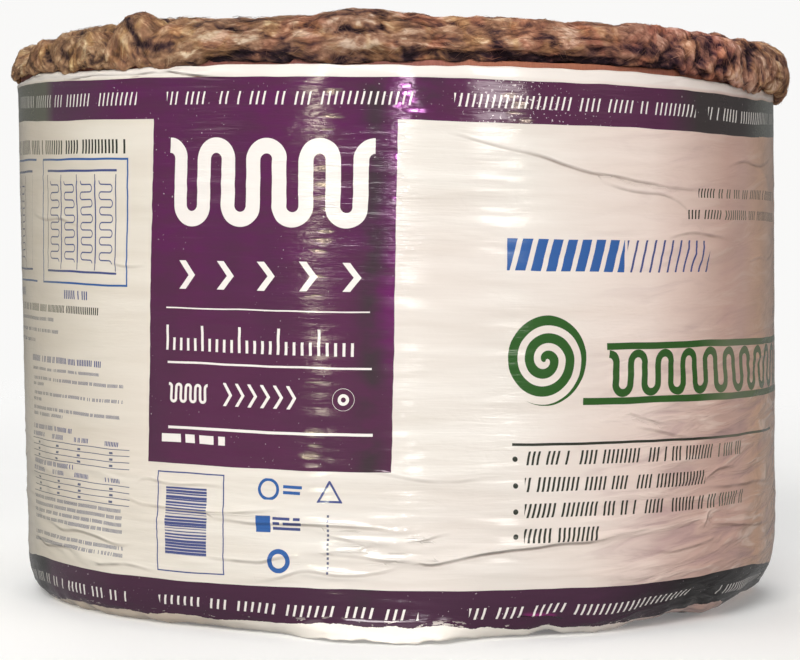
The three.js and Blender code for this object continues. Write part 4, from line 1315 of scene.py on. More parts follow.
def strokes(S, T):
    out = []
    for group in (CLEFTS, WISPS):
        total = np.zeros_like(S)
        ws = S + 1.6 * perlin(S / 9.0, T / 5.0, 181) + 0.7 * perlin(S / 3.6, T / 2.4, 182)
        wt = T + 1.0 * perlin(S / 8.0, T / 5.0, 183) + 0.5 * perlin(S / 3.4, T / 2.2, 184)
        for width, strength, pts in group:
            pts = np.array(pts, float)
            lo_s, hi_s = pts[:, 0].min() - 4 * width - 4, pts[:, 0].max() + 4 * width + 4
            near = (S > lo_s) & (S < hi_s)
            if not near.any():
                continue
            s_, t_ = ws[near], wt[near]
            best = np.full(s_.shape, 1e9)
            for (a0, b0), (a1, b1) in zip(pts[:-1], pts[1:]):
                da, db = a1 - a0, b1 - b0
                u = np.clip(((s_ - a0) * da + (t_ - b0) * db) / (da * da + db * db + 1e-9), 0, 1)
                best = np.minimum(best, np.hypot(s_ - a0 - u * da, t_ - b0 - u * db))
            total[near] += strength * np.exp(-(best / width) ** 2)
        out.append(np.minimum(total, 1.0))
    return out


def f2_of(x, y, seed):
    f1, f2 = worley(x, y, seed, 0)
    return f2 - f1


def build_rim(material):
    inner_r = 240.6
    prof = [(257.0, 359.4), (261.5, 359.5), (265.0, 360.0), (268.4, 361.8), (270.6, 365.0), (271.0, 369.0), (270.4, 373.0), (268.6, 377.4),
            (265.4, 381.0), (260.5, 383.2), (255.0, 384.0), (249.5, 383.4), (245.0, 381.4), (242.2, 378.2), (241.0, 373.0)]
    v, P, N = outline_table(prof)
    N = -N if N[len(N) // 3, 0] < 0 else N
    length = v[-1]
    T = np.arange(0, length, 0.86)
    nt = len(T)
    cols = 1120
    th = np.linspace(-math.pi, math.pi, cols, endpoint=False)
    TT, TH = np.meshgrid(T, th, indexing="ij")
    r = np.interp(TT, v, P[:, 0]); z = np.interp(TT, v, P[:, 1])
    nr = np.interp(TT, v, N[:, 0]); nz = np.interp(TT, v, N[:, 1])
    ln = np.hypot(nr, nz); nr, nz = nr / ln, nz / ln
    deg = np.degrees(TH)
    S = TH * R
    X = TH / (2 * math.pi) + 0.5
    wM, wR, wL = zones(deg)
    top = knots(deg, RIM_TOP)
    over = knots(deg, RIM_OUT) + 0.9 * perlin(X * 24, 0 * X, 83, 24)
    sag = knots(deg, RIM_SAG) + 0.8 * perlin(X * 30, 0 * X, 84, 30)
    up01 = (z - 359.4) / 24.6
    z = 359.4 + up01 * (top - 359.4)
    r = np.where(r > 262, 262 + (r - 262) * (over + 2.6) / 9.0, r)
    hang = smooth(262.0, 266.0, r) * (1 - smooth(0.0, 0.9, up01))
    z = z - sag * hang
    # the side leans back under its own edge along the middle
    tuck = wM * smooth(0.42, 0.0, up01) * smooth(261.0, 264.0, r)
    r = r - 3.4 * tuck
    z = z + 2.2 * tuck * smooth(0.0, 0.2, up01)
    window = smooth(0.6, 7.0, TT) * smooth(length - 1.0, length - 6.0, TT)
    # slow wander of the flow
    wx = 7.0 * perlin(X * 34, TT / 24, 91, 34) + 3.0 * perlin(X * 90, TT / 9, 97, 90)
    wy = 3.2 * perlin(X * 30, TT / 28, 92, 30) + 1.5 * perlin(X * 80, TT / 14, 93, 80)
    # middle: wisps that lie along the edge
    M = 1.9 * ridged(X * 22, (TT + wy) / 17.0, 94, 22) + 1.1 * ridged(X * 48, (TT + wy) / 8.5, 98, 48)
    f1, f2 = worley(X * 30 + wx / 70.0, (TT + 1.6 * wy) / 15.0, 99, 30)
    M += -1.9 * (1 - smooth(0.0, 0.3, f2 - f1)) * smooth(-0.2, 0.5, perlin(X * 26, TT / 20, 110, 26))
    # right: lobes that hang down and lean, with clefts between
    lean_s = (X * LOOP + 0.4 * TT + 3.2 * wx) / LOOP
    f1, f2 = worley(lean_s * 62, (TT + 2.5 * wy) / 34.0, 95, 0)
    Rr = 2.2 * (1 - f1 ** 1.3) - 2.2 * (1 - smooth(0.0, 0.26, f2 - f1)) + 1.3 * ridged(lean_s * 110, TT / 26.0, 109, 0)
    # left: matted, slanting
    sh = (X * LOOP + 0.55 * TT + wx) / LOOP
    f1, f2 = worley(sh * 58, (TT + wy) / 26.0, 96, 0)
    L = 1.8 * ridged(sh * 90, TT / 17.0, 108, 0) - 2.6 * (1 - smooth(0.0, 0.26, f2 - f1)) * smooth(-0.1, 0.5, perlin(X * 28, TT / 30, 118, 28))
    lobes = wM * M + wR * Rr + wL * L
    # bundles of fibre along the flow
    bM = 0.75 * ridged(X * 96, (TT + wy) / 3.4, 101, 96) + 0.3 * ridged(X * 210, (TT + wy) / 1.9, 102, 210)
    bR = 0.8 * ridged((X * LOOP + 0.4 * TT + 1.4 * wx) / 5.2, TT / 19.0, 103) + 0.3 * ridged((X * LOOP + 0.4 * TT + wx) / 2.6, TT / 9.0, 104)
    sh2 = X * LOOP + 0.8 * TT + wx
    bL = 0.7 * ridged(sh2 / 5.0, TT / 11.0, 105) + 0.3 * ridged((sh2 + 0.4 * TT) / 2.8, TT / 7.0, 106)
    bundle = wM * bM + wR * bR + wL * bL
    lump = 1.3 * fbm(X * 60, TT / 20.0, 107, 60, 2)
    seamfade = smooth(-math.pi, -math.pi + 0.1, TH) * smooth(math.pi, math.pi - 0.1, TH)
    stroke_dark, stroke_pale = strokes(TH * R, TT)
    h = window * (lobes * seamfade + 0.5 * bundle * seamfade + lump - 0.4 - 2.6 * stroke_dark + 1.0 * stroke_pale)
    r2, z2 = r + nr * h, z + nz * h
    low_edge = TT + 2.4 * perlin(X * 60, 0 * X, 117, 60) + 1.4 * perlin(X * 150, 0 * X, 116, 150)
    # painted shade: the low band of the rim, tucked in under its overhang, darkened in the tone below
    rim_low_shade = wM * smooth(15.5, 6.5, low_edge) + wR * smooth(13.0, 4.0, low_edge + 4.0 * smooth(55, 75, deg)) + wL * smooth(6.0, 1.5, low_edge)
    f1, _ = worley(X * 88 + wx / 22.0, (TT + wy) / 12.0, 119, 88)
    # pits: dents in the wool, also painted darker as shade in the tone below
    pit_and_shade = smooth(0.42, 0.12, f1) * smooth(0.0, 0.5, perlin(X * 40, TT / 26.0, 120, 40)) * window
    r2 = r2 - nr * 1.8 * pit_and_shade
    z2 = z2 - nz * 1.8 * pit_and_shade
    # tone: pale and dark in soft swirls that follow the flow
    dirs = np.clip(wR + 0.6 * wL, 0, 1)
    ux = X * LOOP + 11.0 * perlin(X * 40, TT / 17.0, 151, 40) + 4.5 * perlin(X * 100, TT / 7.0, 152, 100)
    vy = TT + 5.0 * perlin(X * 40, TT / 22.0, 153, 40) + 2.4 * perlin(X * 96, TT / 9.0, 154, 96)
    ux = ux + (0.6 * wR + 0.5 * wL) * TT

    def swirl(a, b, seed):
        return perlin(ux / a, vy / b, seed) * (1 - dirs) + perlin(ux / b, vy / a, seed + 1) * dirs

    tone = 0.55 + seamfade * (0.24 * swirl(36.0, 10.0, 161) + 0.28 * swirl(15.0, 4.6, 163) + 0.27 * swirl(7.0, 2.2, 165) + 0.2 * swirl(3.5, 1.3, 167))
    # painted light and shade: raised lobes and bundles paler, clefts, dark strokes, the low band and the pits darker,
    # pale strokes paler
    tone = tone + seamfade * (0.055 * lobes + 0.05 * bundle)
    cleft_shade = wR * (1 - smooth(0.0, 0.3, f2_of(lean_s * 62, (TT + 2.5 * wy) / 34.0, 95)))
    tone = tone - 0.14 * cleft_shade * seamfade - 0.72 * stroke_dark + 0.55 * stroke_pale
    tone = tone - 0.62 * rim_low_shade - 0.3 * pit_and_shade
    # the seam's groove across the top
    rel = np.mod(TH - SEAM, 2 * math.pi)
    seam_r = turn_radius(1, rel)
    gap = np.exp(-((r2 - seam_r) / 2.2) ** 2) * smooth(0.56, 0.44, rel) * (z2 > 370)
    z2 = z2 - 7.0 * gap
    # painted shade: the seam's groove darker
    cav = np.clip(tone - 0.4 * gap, 0, 1)
    detail = place(r2, TH, z2)
    # the rest of the turn's skin: inner wall, base, outer wall
    under = [(inner_r, 360.0), (inner_r, 200.0), (inner_r, 40.0), (inner_r, 4.2)]
    _, OIp, _ = outline_table(OUTLINE, 3.5)
    for q in (243.5, 248.0, 252.5, 256.3, 259.3):
        i = int(np.argmin(np.abs(OIp[:, 0] - q) + (OIp[:, 1] > 60) * 100))
        under.append((q, float(OIp[i, 1])))
    under += [(260.6, 60.0), (260.8, 180.0), (260.9, 300.0), (260.9, 352.0)]
    rest = np.array([place(np.full(cols, a), th, np.full(cols, b)) for a, b in under])
    allrows = np.concatenate([detail, rest])
    nrows = allrows.shape[0]
    quads = ring_faces(nrows, cols, True, True, flip=True)
    ob = make_mesh("glass_wool_outer_turn", allrows.reshape(-1, 3), quads, material)
    point_attr(ob, "cav", np.concatenate([cav, np.full((len(under), cols), 0.25)]))
    # a flow map by corners, so that the seam at the back doesn't smear
    I, J = np.meshgrid(np.arange(nrows), np.arange(cols), indexing="ij")
    tcol = np.concatenate([T, length + 4.0 * np.arange(1, len(under) + 2)])
    s0 = th[J] * R
    s1 = s0 + LOOP / cols
    t0, t1 = tcol[I], tcol[I + 1]
    uv = np.stack([np.stack([s0, t1], -1), np.stack([s1, t1], -1), np.stack([s1, t0], -1), np.stack([s0, t0], -1)], -2)
    uv_layer(ob, "Flow", uv.reshape(-1, 2) * MM)
    point_attr(ob, "updown", np.concatenate([dirs, np.zeros((len(under), cols))]))
    print("rim: %d x %d, %d triangles" % (nrows, cols, 2 * len(quads)))
    return ob, dict(T=T, th=th, P=detail, wM=wM[0], wR=wR[0], wL=wL[0], cav=cav, length=length)


def strip_sections():
    """Angles along the spiral from the seam inwards, with sections about 3 mm apart."""
    phis = []
    for k in range(1, TURNS + 1):
        rm = WOOL_R - PITCH * (k + 0.2)
        n = max(30, int(2 * math.pi * max(rm, 16) / 3.1))
        phis.append((k - 1) * 2 * math.pi + np.arange(n) / n * 2 * math.pi)
    phis.append(np.array([TURNS * 2 * math.pi]))
    return np.concatenate(phis)


def build_turns(material):
    phi = strip_sections()
    k = np.minimum((phi / (2 * math.pi)).astype(int) + 1, TURNS)
    rel = phi - (k - 1) * 2 * math.pi
    outer = np.empty(len(phi)); inner = np.empty(len(phi))
    for kk in range(1, TURNS + 1):
        m = k == kk
        outer[m] = turn_radius(kk, rel[m])
        inner[m] = turn_radius(kk + 1, rel[m])
    outer = np.minimum(outer, 240.4) - 0.35
    inner = np.maximum(inner, BORE_R) + 0.35
    inner = np.minimum(inner, outer - 0.5)
    th = SEAM + rel
    na = 15
    q = (1 - np.cos(math.pi * (0.04 + 0.92 * np.arange(na) / (na - 1)))) / 2
    q = (q - q[0]) / (q[-1] - q[0])
    Q, PH = np.meshgrid(q, phi, indexing="xy")
    TH = np.repeat(th[:, None], na, 1)
    O, I_ = outer[:, None], inner[:, None]
    w = O - I_
    r = O - Q * w
    X = TH / (2 * math.pi)
    Sx = PH * (O + I_) / 2 * 1.0
    run = np.concatenate([[0], np.cumsum(np.diff(phi) * 0.5 * (outer[1:] + outer[:-1]))])   # length along the batt
    RUN = np.repeat(run[:, None], na, 1)
    full = np.clip(w / PITCH, 0.0, 1.0)
    edge = np.abs(2 * Q - 1)
    groove = 7.5 * edge ** 4.5 + 1.2 * edge ** 2
    f1, f2 = worley(RUN / 21.0 + 0.5 * perlin(RUN / 30.0, Q * 2, 111), Q * w / 12.0 + k[:, None] * 7.3, 112)
    lobes = 2.6 * (1 - f1 ** 1.4) - 2.4 * (1 - smooth(0, 0.25, f2 - f1))
    bundle = 1 - 2 * np.abs(perlin(RUN / 34.0, (Q * w + 2.0 * perlin(RUN / 26.0, Q * 3, 113)) / 2.6 + k[:, None] * 11, 114))
    bundle2 = 1 - 2 * np.abs(perlin(RUN / 15.0, Q * w / 1.5 + k[:, None] * 13, 115))
    inside = smooth(1.0, 0.72, edge)
    zt = crest(r, TH) - groove * np.clip(full * 1.1, 0.2, 1) + inside * (lobes + 0.7 * bundle + 0.25 * bundle2)
    qw = Q * w + k[:, None] * 23.0
    wr = RUN + 8.0 * perlin(RUN / 30.0, qw / 10.0, 171)
    wq = qw + 3.0 * perlin(RUN / 18.0, qw / 7.0, 172)
    cav = 0.56 + 0.42 * perlin(wr / 34.0, wq / 9.0, 173) + 0.36 * perlin(wr / 14.0, wq / 4.4, 174) + 0.26 * perlin(wr / 6.0, wq / 2.1, 175)
    # painted light and shade: lobes and bundles paler, the grooves between turns darker
    cav = np.clip(cav + inside * 0.05 * (lobes + 0.8 * bundle) - 0.06 * groove, 0, 1)
    rt = r + buckle(r, TH)
    top_pts = place(rt, TH, zt)
    def wall(rr, zz, n):
        R_ = np.repeat(rr[:, None], n, 1)
        T_ = np.repeat(th[:, None], n, 1)
        return place(R_ + buckle(R_, T_), T_, np.broadcast_to(zz, (len(phi), n)))
    inner_wall = wall(inner, np.array([[352.0, 190.0, 6.0]]), 3)
    qb = np.linspace(1, 0, 7)
    rb = outer[:, None] - qb[None, :] * (outer - inner)[:, None]
    THB = np.repeat(th[:, None], 7, 1)
    zb = 3.6 * np.abs(2 * qb - 1)[None, :] ** 6 + 0 * rb + 0.35 * np.clip(perlin(THB * 8, rb / 9.0, 116), 0, 1)
    bottom = place(rb + buckle(rb, THB), THB, np.clip(zb, 0.0, 9))
    outer_wall = wall(outer, np.array([[6.0, 190.0, 352.0]]), 3)
    sect = np.concatenate([top_pts, inner_wall, bottom, outer_wall], 1)
    n_s, n_p = sect.shape[:2]
    co = sect.reshape(-1, 3)
    quads = ring_faces(n_s, n_p, False, True)
    first, last = np.arange(n_p), (n_s - 1) * n_p + np.arange(n_p)
    c0, c1 = sect[0].mean(0), sect[-1].mean(0)
    co = np.concatenate([co, [c0, c1]])
    i0, i1 = len(co) - 2, len(co) - 1
    caps = np.concatenate([
        np.stack([np.full(n_p, i0), np.roll(first, -1), first], 1)[:, [0, 2, 1]],
        np.stack([np.full(n_p, i1), last, np.roll(last, -1)], 1)[:, [0, 2, 1]]])
    quads = quads[:, ::-1]
    caps = caps[:, ::-1]
    ob = make_mesh("glass_wool_inner_turns", co, [quads, caps], material)
    cav_all = np.concatenate([np.concatenate([cav, np.full((n_s, n_p - na), 0.3)], 1).ravel(), [0.2, 0.2]])
    point_attr(ob, "cav", cav_all)
    point_attr(ob, "updown", np.zeros(len(co)))
    Ii, Jj = np.meshgrid(np.arange(n_s - 1), np.arange(n_p), indexing="ij")
    across = np.concatenate([q * PITCH, PITCH + 4.0 * np.arange(1, n_p - na + 1), [PITCH + 4.0 * (n_p - na + 1)]])
    off = k[:, None] * 31.0
    a0 = run[Ii]; a1 = run[Ii + 1]
    b0 = across[Jj] + k[Ii] * 31.0; b1 = across[Jj + 1] + k[Ii] * 31.0
    uv = np.stack([np.stack([a1, b0], -1), np.stack([a1, b1], -1), np.stack([a0, b1], -1), np.stack([a0, b0], -1)], -2)
    uv = np.concatenate([uv.reshape(-1, 2), np.zeros((len(caps) * 3, 2))])
    uv_layer(ob, "Flow", uv * MM)
    print("turns: %d sections x %d, %d triangles" % (n_s, n_p, 2 * len(quads)))
    return ob, dict(phi=phi, k=k, th=th, outer=outer, inner=inner, top=top_pts, q=q, run=run, cav=cav)


def tubes(name, paths, radii, material, tones):
    """Closed three-sided fibres. paths is (n, m, 3) in metres, radii (n, m)."""
    n, m, _ = paths.shape
    tan = np.gradient(paths, axis=1)
    tan /= np.linalg.norm(tan, axis=2, keepdims=True) + 1e-12
    ref = np.where(np.abs(tan[..., 2:3]) > 0.8, np.array([1.0, 0, 0]), np.array([0, 0, 1.0]))
    b = np.cross(tan, ref)
    b /= np.linalg.norm(b, axis=2, keepdims=True) + 1e-12
    c = np.cross(tan, b)
    rings = []
    for j in range(3):
        a = 2 * math.pi * j / 3
        rings.append(paths + (b * math.cos(a) + c * math.sin(a)) * radii[..., None])
    ring = np.stack(rings, 2)                       # n, m, 3, 3
    co = ring.reshape(-1, 3)
    base = (np.arange(n) * m * 3)[:, None, None]
    i = np.arange(m - 1)[None, :, None] * 3
    j = np.arange(3)[None, None, :]
    j2 = (j + 1) % 3
    quads = np.stack([base + i + j, base + i + j2, base + i + 3 + j2, base + i + 3 + j], -1).reshape(-1, 4)
    a = (np.arange(n) * m * 3)[:, None]
    start = np.concatenate([a + 2, a + 1, a], 1)
    end = a + (m - 1) * 3
    end = np.concatenate([end, end + 1, end + 2], 1)
    ob = make_mesh(name, co, [quads, start, end], material)
    point_attr(ob, "tone", np.repeat(tones, m * 3))
    print("%s: %d fibres, %d triangles" % (name, n, 2 * len(quads) + 2 * n))
    return ob


def grid_sample(G, i, j, wrap_j=True):
    """Bilinear look-up in a (rows, cols, ...) array at fractional row i and column j."""
    rows, cols = G.shape[:2]
    i = np.clip(i, 0, rows - 1.001)
    i0 = np.floor(i).astype(int)
    fi = (i - i0)[..., None] if G.ndim == 3 else i - i0
    if wrap_j:
        j = np.mod(j, cols)
        j0 = np.floor(j).astype(int) % cols
        j1 = (j0 + 1) % cols
    else:
        j = np.clip(j, 0, cols - 1.001)
        j0 = np.floor(j).astype(int)
        j1 = j0 + 1
    fj = j - np.floor(j)
    fj = fj[..., None] if G.ndim == 3 else fj
    return (G[i0, j0] * (1 - fi) * (1 - fj) + G[i0 + 1, j0] * fi * (1 - fj) + G[i0, j1] * (1 - fi) * fj + G[i0 + 1, j1] * fi * fj)


def rim_fibres(info, material, count=13600):
    rng = np.random.default_rng(7)
    P = info["P"]
    rows, cols = P.shape[:2]
    gi = np.gradient(P, axis=0)
    gj = (np.roll(P, -1, 1) - np.roll(P, 1, 1)) * 0.5
    N = np.cross(gj, gi)
    N /= np.linalg.norm(N, axis=2, keepdims=True) + 1e-12
    mid = P[rows // 3]
    outward = np.stack([mid[:, 0], mid[:, 1], 0 * mid[:, 0]], 1)
    if (N[rows // 3] * outward).sum() < 0:
        N = -N
    m = 3
    th = rng.uniform(-math.pi, math.pi, count)
    t = rng.uniform(4.0, info["length"] - 3.0, count)
    col = np.clip(((th + math.pi) / (2 * math.pi) * cols).astype(int), 0, cols - 1)
    wM, wR, wL = info["wM"][col], info["wR"][col], info["wL"][col]
    X = th / (2 * math.pi) + 0.5
    wander = 42 * perlin(X * 120, t / 13.0, 141, 120) + 20 * perlin(X * 300, t / 6.0, 142, 300)
    ang = wM * 0 + wR * 66 + wL * 52 + wander + rng.normal(0, 9, count)
    ang = np.where(rng.random(count) < 0.07, rng.uniform(-90, 90, count), ang)
    ang = np.radians(ang) + (rng.random(count) < 0.5) * math.pi
    length = rng.uniform(5.0, 15.0, count)
    bend = rng.normal(0, 0.6, count)
    u = np.linspace(0, 1, m)[None, :]
    a = ang[:, None] + bend[:, None] * (u - 0.5)
    ds = np.cos(a) * length[:, None] / (m - 1)
    dt = np.sin(a) * length[:, None] / (m - 1)
    s = th[:, None] * R + np.concatenate([np.zeros((count, 1)), np.cumsum(ds, 1)[:, :-1]], 1)
    tt = t[:, None] + np.concatenate([np.zeros((count, 1)), np.cumsum(dt, 1)[:, :-1]], 1)
    tt = np.clip(tt, 2.5, info["length"] - 1.5)
    j = (s / R + math.pi) / (2 * math.pi) * cols
    i = tt / (info["T"][1] - info["T"][0])
    base = grid_sample(P, i, j)
    nor = grid_sample(N, i, j)
    nor /= np.linalg.norm(nor, axis=2, keepdims=True) + 1e-12
    lift0 = rng.uniform(-0.05, 0.35, (count, 1)) + 0.35 * np.sin(math.pi * u)
    loose = (rng.random((count, 1)) < 0.12) * rng.uniform(0.3, 1.1, (count, 1)) * smooth(info["length"] * 0.62, info["length"] * 0.45, t)[:, None]
    tip = loose * np.where(rng.random((count, 1)) < 0.5, u ** 2, (1 - u) ** 2)
    pts = base + nor * ((lift0 + tip) * MM)[..., None]
    rad = rng.uniform(0.07, 0.17, (count, 1)) * np.array([[0.5, 1.0, 0.4]]) * MM
    # each fibre takes the tone of the wool under it, painted shade included
    tone = grid_sample(info["cav"], i[:, 1], j[:, 1])
    tone = np.clip(tone + rng.normal(0.03, 0.09, count), 0, 1)
    return tubes("glass_wool_rim_fibres", pts, rad, material, tone)


def end_fibres(info, material, count=8400):
    rng = np.random.default_rng(9)
    top, run, q = info["top"], info["run"], info["q"]
    n_s, na = top.shape[:2]
    m = 3
    pick = rng.uniform(0, run[-1], count)
    qq = rng.uniform(0.06, 0.94, count)
    length = rng.uniform(6.0, 17.0, count)
    wander = 34 * perlin(pick / 16.0, qq * 2.2, 145)
    ang = np.where(rng.random(count) < 0.85, wander + rng.normal(0, 12, count), rng.uniform(-90, 90, count))
    ang = np.radians(ang)
    u = np.linspace(0, 1, m)[None, :]
    a = ang[:, None] + rng.normal(0, 0.5, (count, 1)) * (u - 0.5)
    run_pts = pick[:, None] + np.cumsum(np.cos(a) * length[:, None] / (m - 1), 1)
    run_pts = np.clip(run_pts, 0.5, run[-1] - 0.5)
    q_pts = np.clip(qq[:, None] + np.cumsum(np.sin(a) * length[:, None] / (m - 1), 1) / PITCH, 0.03, 0.97)
    i = np.interp(run_pts, run, np.arange(n_s))
    j = np.interp(q_pts, q, np.arange(na))
    base = grid_sample(top, i, j, wrap_j=False)
    lift = rng.uniform(0.0, 0.5, (count, 1)) + 0.5 * np.sin(math.pi * u)
    loose = (rng.random((count, 1)) < 0.14) * rng.uniform(0.3, 1.3, (count, 1))
    lift = lift + loose * np.where(rng.random((count, 1)) < 0.5, u ** 2, (1 - u) ** 2)
    base = base.copy()
    base[..., 2] += lift * MM
    rad = rng.uniform(0.09, 0.2, (count, 1)) * np.array([[0.5, 1.0, 0.4]]) * MM
    ci = np.clip(i[:, 1].astype(int), 0, n_s - 1)
    cj = np.clip(j[:, 1].astype(int), 0, na - 1)
    # each fibre takes the tone of the wool under it, painted shade included
    tone = np.clip(info["cav"][ci, cj] + rng.normal(0.03, 0.09, count), 0, 1)
    return tubes("glass_wool_end_fibres", base, rad, material, tone)


WOOL_RAMP = [(0.0, srgb(34, 23, 29)), (0.16, srgb(58, 41, 46)), (0.34, srgb(96, 69, 62)), (0.52, srgb(136, 98, 78)), (0.7, srgb(164, 123, 98)), (0.86, srgb(190, 153, 126)), (1.0, srgb(216, 187, 162))]


def wool_material(name, strand=False):
    g = Graph(name)
    pos = g.coords()
    px = g.sep(pos)
    patch = g.noise(pos, 42.0, 2.0, 0.5, 0.5)
    patch2 = g.noise(g.vadd(pos, (3.0, 5.0, 7.0)), 60.0, 2.0, 0.5, 0.5)
    if strand:
        f = g.attr("tone").outputs["Fac"]
    else:
        cav = g.attr("cav").outputs["Fac"]
        uv = g.sep(g.uv("Flow"))
        warp = g.noise(pos, 90.0, 2.0, 0.5)
        wob = g.m("MULTIPLY", g.m("SUBTRACT", warp, 0.5), 0.016)
        u_ = g.m("ADD", uv[0], wob)
        v_ = g.m("ADD", uv[1], wob)
        along = g.comb(g.m("MULTIPLY", u_, 110.0), g.m("MULTIPLY", v_, 560.0), 0.0)
        across = g.comb(g.m("MULTIPLY", g.m("ADD", u_, g.m("MULTIPLY", v_, 0.5)), 560.0), g.m("MULTIPLY", v_, 120.0), 3.0)
        ud = g.attr("updown").outputs["Fac"]
        streak = g.mixf(ud, g.noise(along, 1.0, 3.0, 0.6, 0.5), g.noise(across, 1.0, 3.0, 0.6, 0.5))
        clump = g.noise(g.comb(g.m("MULTIPLY", uv[0], 70.0), g.m("MULTIPLY", uv[1], 130.0), 7.0), 1.0, 3.0, 0.55, 1.2)
        f = g.m("ADD", cav, g.span(streak, 0.28, 0.72, -0.13, 0.13))
        f = g.m("ADD", f, g.span(clump, 0.3, 0.7, -0.14, 0.14), clamp=True)
    col = g.ramp(f, WOOL_RAMP)
    pink = g.m("MULTIPLY", g.m("MULTIPLY", g.span(patch, 0.5, 0.62), g.span(px[0], -0.2, 0.0, 0.35, 1.0)), g.span(px[0], 0.19, 0.25, 1.0, 0.3))
    col = g.mix(g.m("MULTIPLY", pink, 0.8), col, g.mix(1.0, col, (1.14, 0.88, 0.88), "MULTIPLY"))
    green = g.span(patch2, 0.5, 0.62)
    col = g.mix(g.m("MULTIPLY", green, 0.8), col, g.mix(1.0, col, (1.06, 1.03, 0.8), "MULTIPLY"))
    olive = g.m("MULTIPLY", g.span(px[0], -0.04, -0.2), 0.8)
    col = g.mix(olive, col, g.mix(1.0, col, (0.99, 1.14, 1.04), "MULTIPLY"))
    shade = g.m("MULTIPLY", g.m("MULTIPLY", g.span(px[0], -0.15, -0.1), g.span(px[0], 0.03, -0.01)), 0.85)
    col = g.mix(shade, col, g.mix(1.0, col, (0.79, 0.81, 0.87), "MULTIPLY"))
    red = g.m("MULTIPLY", g.span(px[0], 0.06, 0.2), 0.9)
    col = g.mix(red, col, g.mix(1.0, col, (1.02, 0.88, 1.08), "MULTIPLY"))
    col = g.mix(g.m("MULTIPLY", g.span(px[0], 0.2, 0.255), 0.85), col, g.mix(1.0, col, (0.97, 1.2, 0.98), "MULTIPLY"))
    g.set(Base_Color=col)
    if strand:
        g.bsdf.inputs["Roughness"].default_value = 0.7
        g.bsdf.inputs["Specular IOR Level"].default_value = 0.2
        return g.mat
    g.set(Normal=g.bump(streak, 0.8, 0.0010))
    g.bsdf.inputs["Roughness"].default_value = 0.9
    g.bsdf.inputs["Specular IOR Level"].default_value = 0.1
    return g.mat


# ---------------------------------------------------------------- kraft paper
def kraft_material():
    g = Graph("kraft_paper")
    pos = g.coords()
    fib = g.noise(g.vmul(pos, (1.0, 1.0, 0.25)), 900.0, 3.0, 0.6)
    cloud = g.noise(pos, 22.0, 3.0, 0.5)
    col = g.mix(g.span(fib, 0.3, 0.7), srgb(146, 84, 68), srgb(178, 110, 90))
    col = g.mix(g.m("MULTIPLY", g.span(cloud, 0.35, 0.7), 0.5), col, srgb(170, 108, 72))
    px = g.sep(pos)
    # painted shadow of the wool's overhang: the paper darker and purplish from the middle leftwards
    col = g.mix(g.span(px[0], 0.04, -0.01), col, g.mix(1.0, col, (0.62, 0.56, 0.72), "MULTIPLY"))
    g.set(Base_Color=col, Normal=g.bump(fib, 0.5, 0.0004), Roughness=g.m("ADD", 0.55, g.m("MULTIPLY", fib, 0.2)))
    return g.mat


def build_kraft(material):
    """The outermost lap of the paper: a thin sleeve between the film and the wool."""
    cols = 480
    th = np.linspace(-math.pi, math.pi, cols, endpoint=False)
    X = th / (2 * math.pi) + 0.5
    v, P, N = outline_table(OUTLINE, 2.1)
    keep = P[:, 0] > 246
    P, v = P[keep], v[keep]
    zs = np.concatenate([[358.6], np.arange(357.6, 340, -1.6), [320, 250, 180, 110, 60, 40, 30, 23, 18]])
    topz = 357.6 + 0.6 * perlin(X * 60, 0 * X, 121, 60) + 0.4 * perlin(X * 170, 0 * X, 122, 170)
    order = np.argsort(P[:, 1])
    rows = []
    for i, z in enumerate(zs):
        r = np.interp(z, P[order, 1], P[order, 0])
        f = np.exp(-(358 - z) / 9.0)
        wav = f * (0.35 * perlin(X * 80, z / 12.0 + 0 * X, 123, 80)) if z > 330 else 0 * X
        zz = np.full(cols, z)
        zz = np.where(zz > 350, zz - (358.2 - topz) * smooth(350, 358, zz), zz)
        rows.append(place(r + wav, th, zz))
    back = []
    for i, z in list(enumerate(zs))[::-1]:
        r = np.interp(z, P[order, 1], P[order, 0]) - 0.35
        f = np.exp(-(358 - z) / 9.0)
        wav = f * (0.35 * perlin(X * 80, z / 12.0 + 0 * X, 123, 80)) if z > 330 else 0 * X
        zz = np.full(cols, z)
        zz = np.where(zz > 350, zz - (358.2 - topz) * smooth(350, 358, zz), zz)
        back.append(place(r + wav, th, zz))
    G = np.array(rows + back)
    quads = ring_faces(G.shape[0], cols, True, True)
    ob = make_mesh("kraft_facing_outer_lap", G.reshape(-1, 3), quads, material)
    print("kraft lap: %d triangles" % (2 * len(quads)))
    return ob


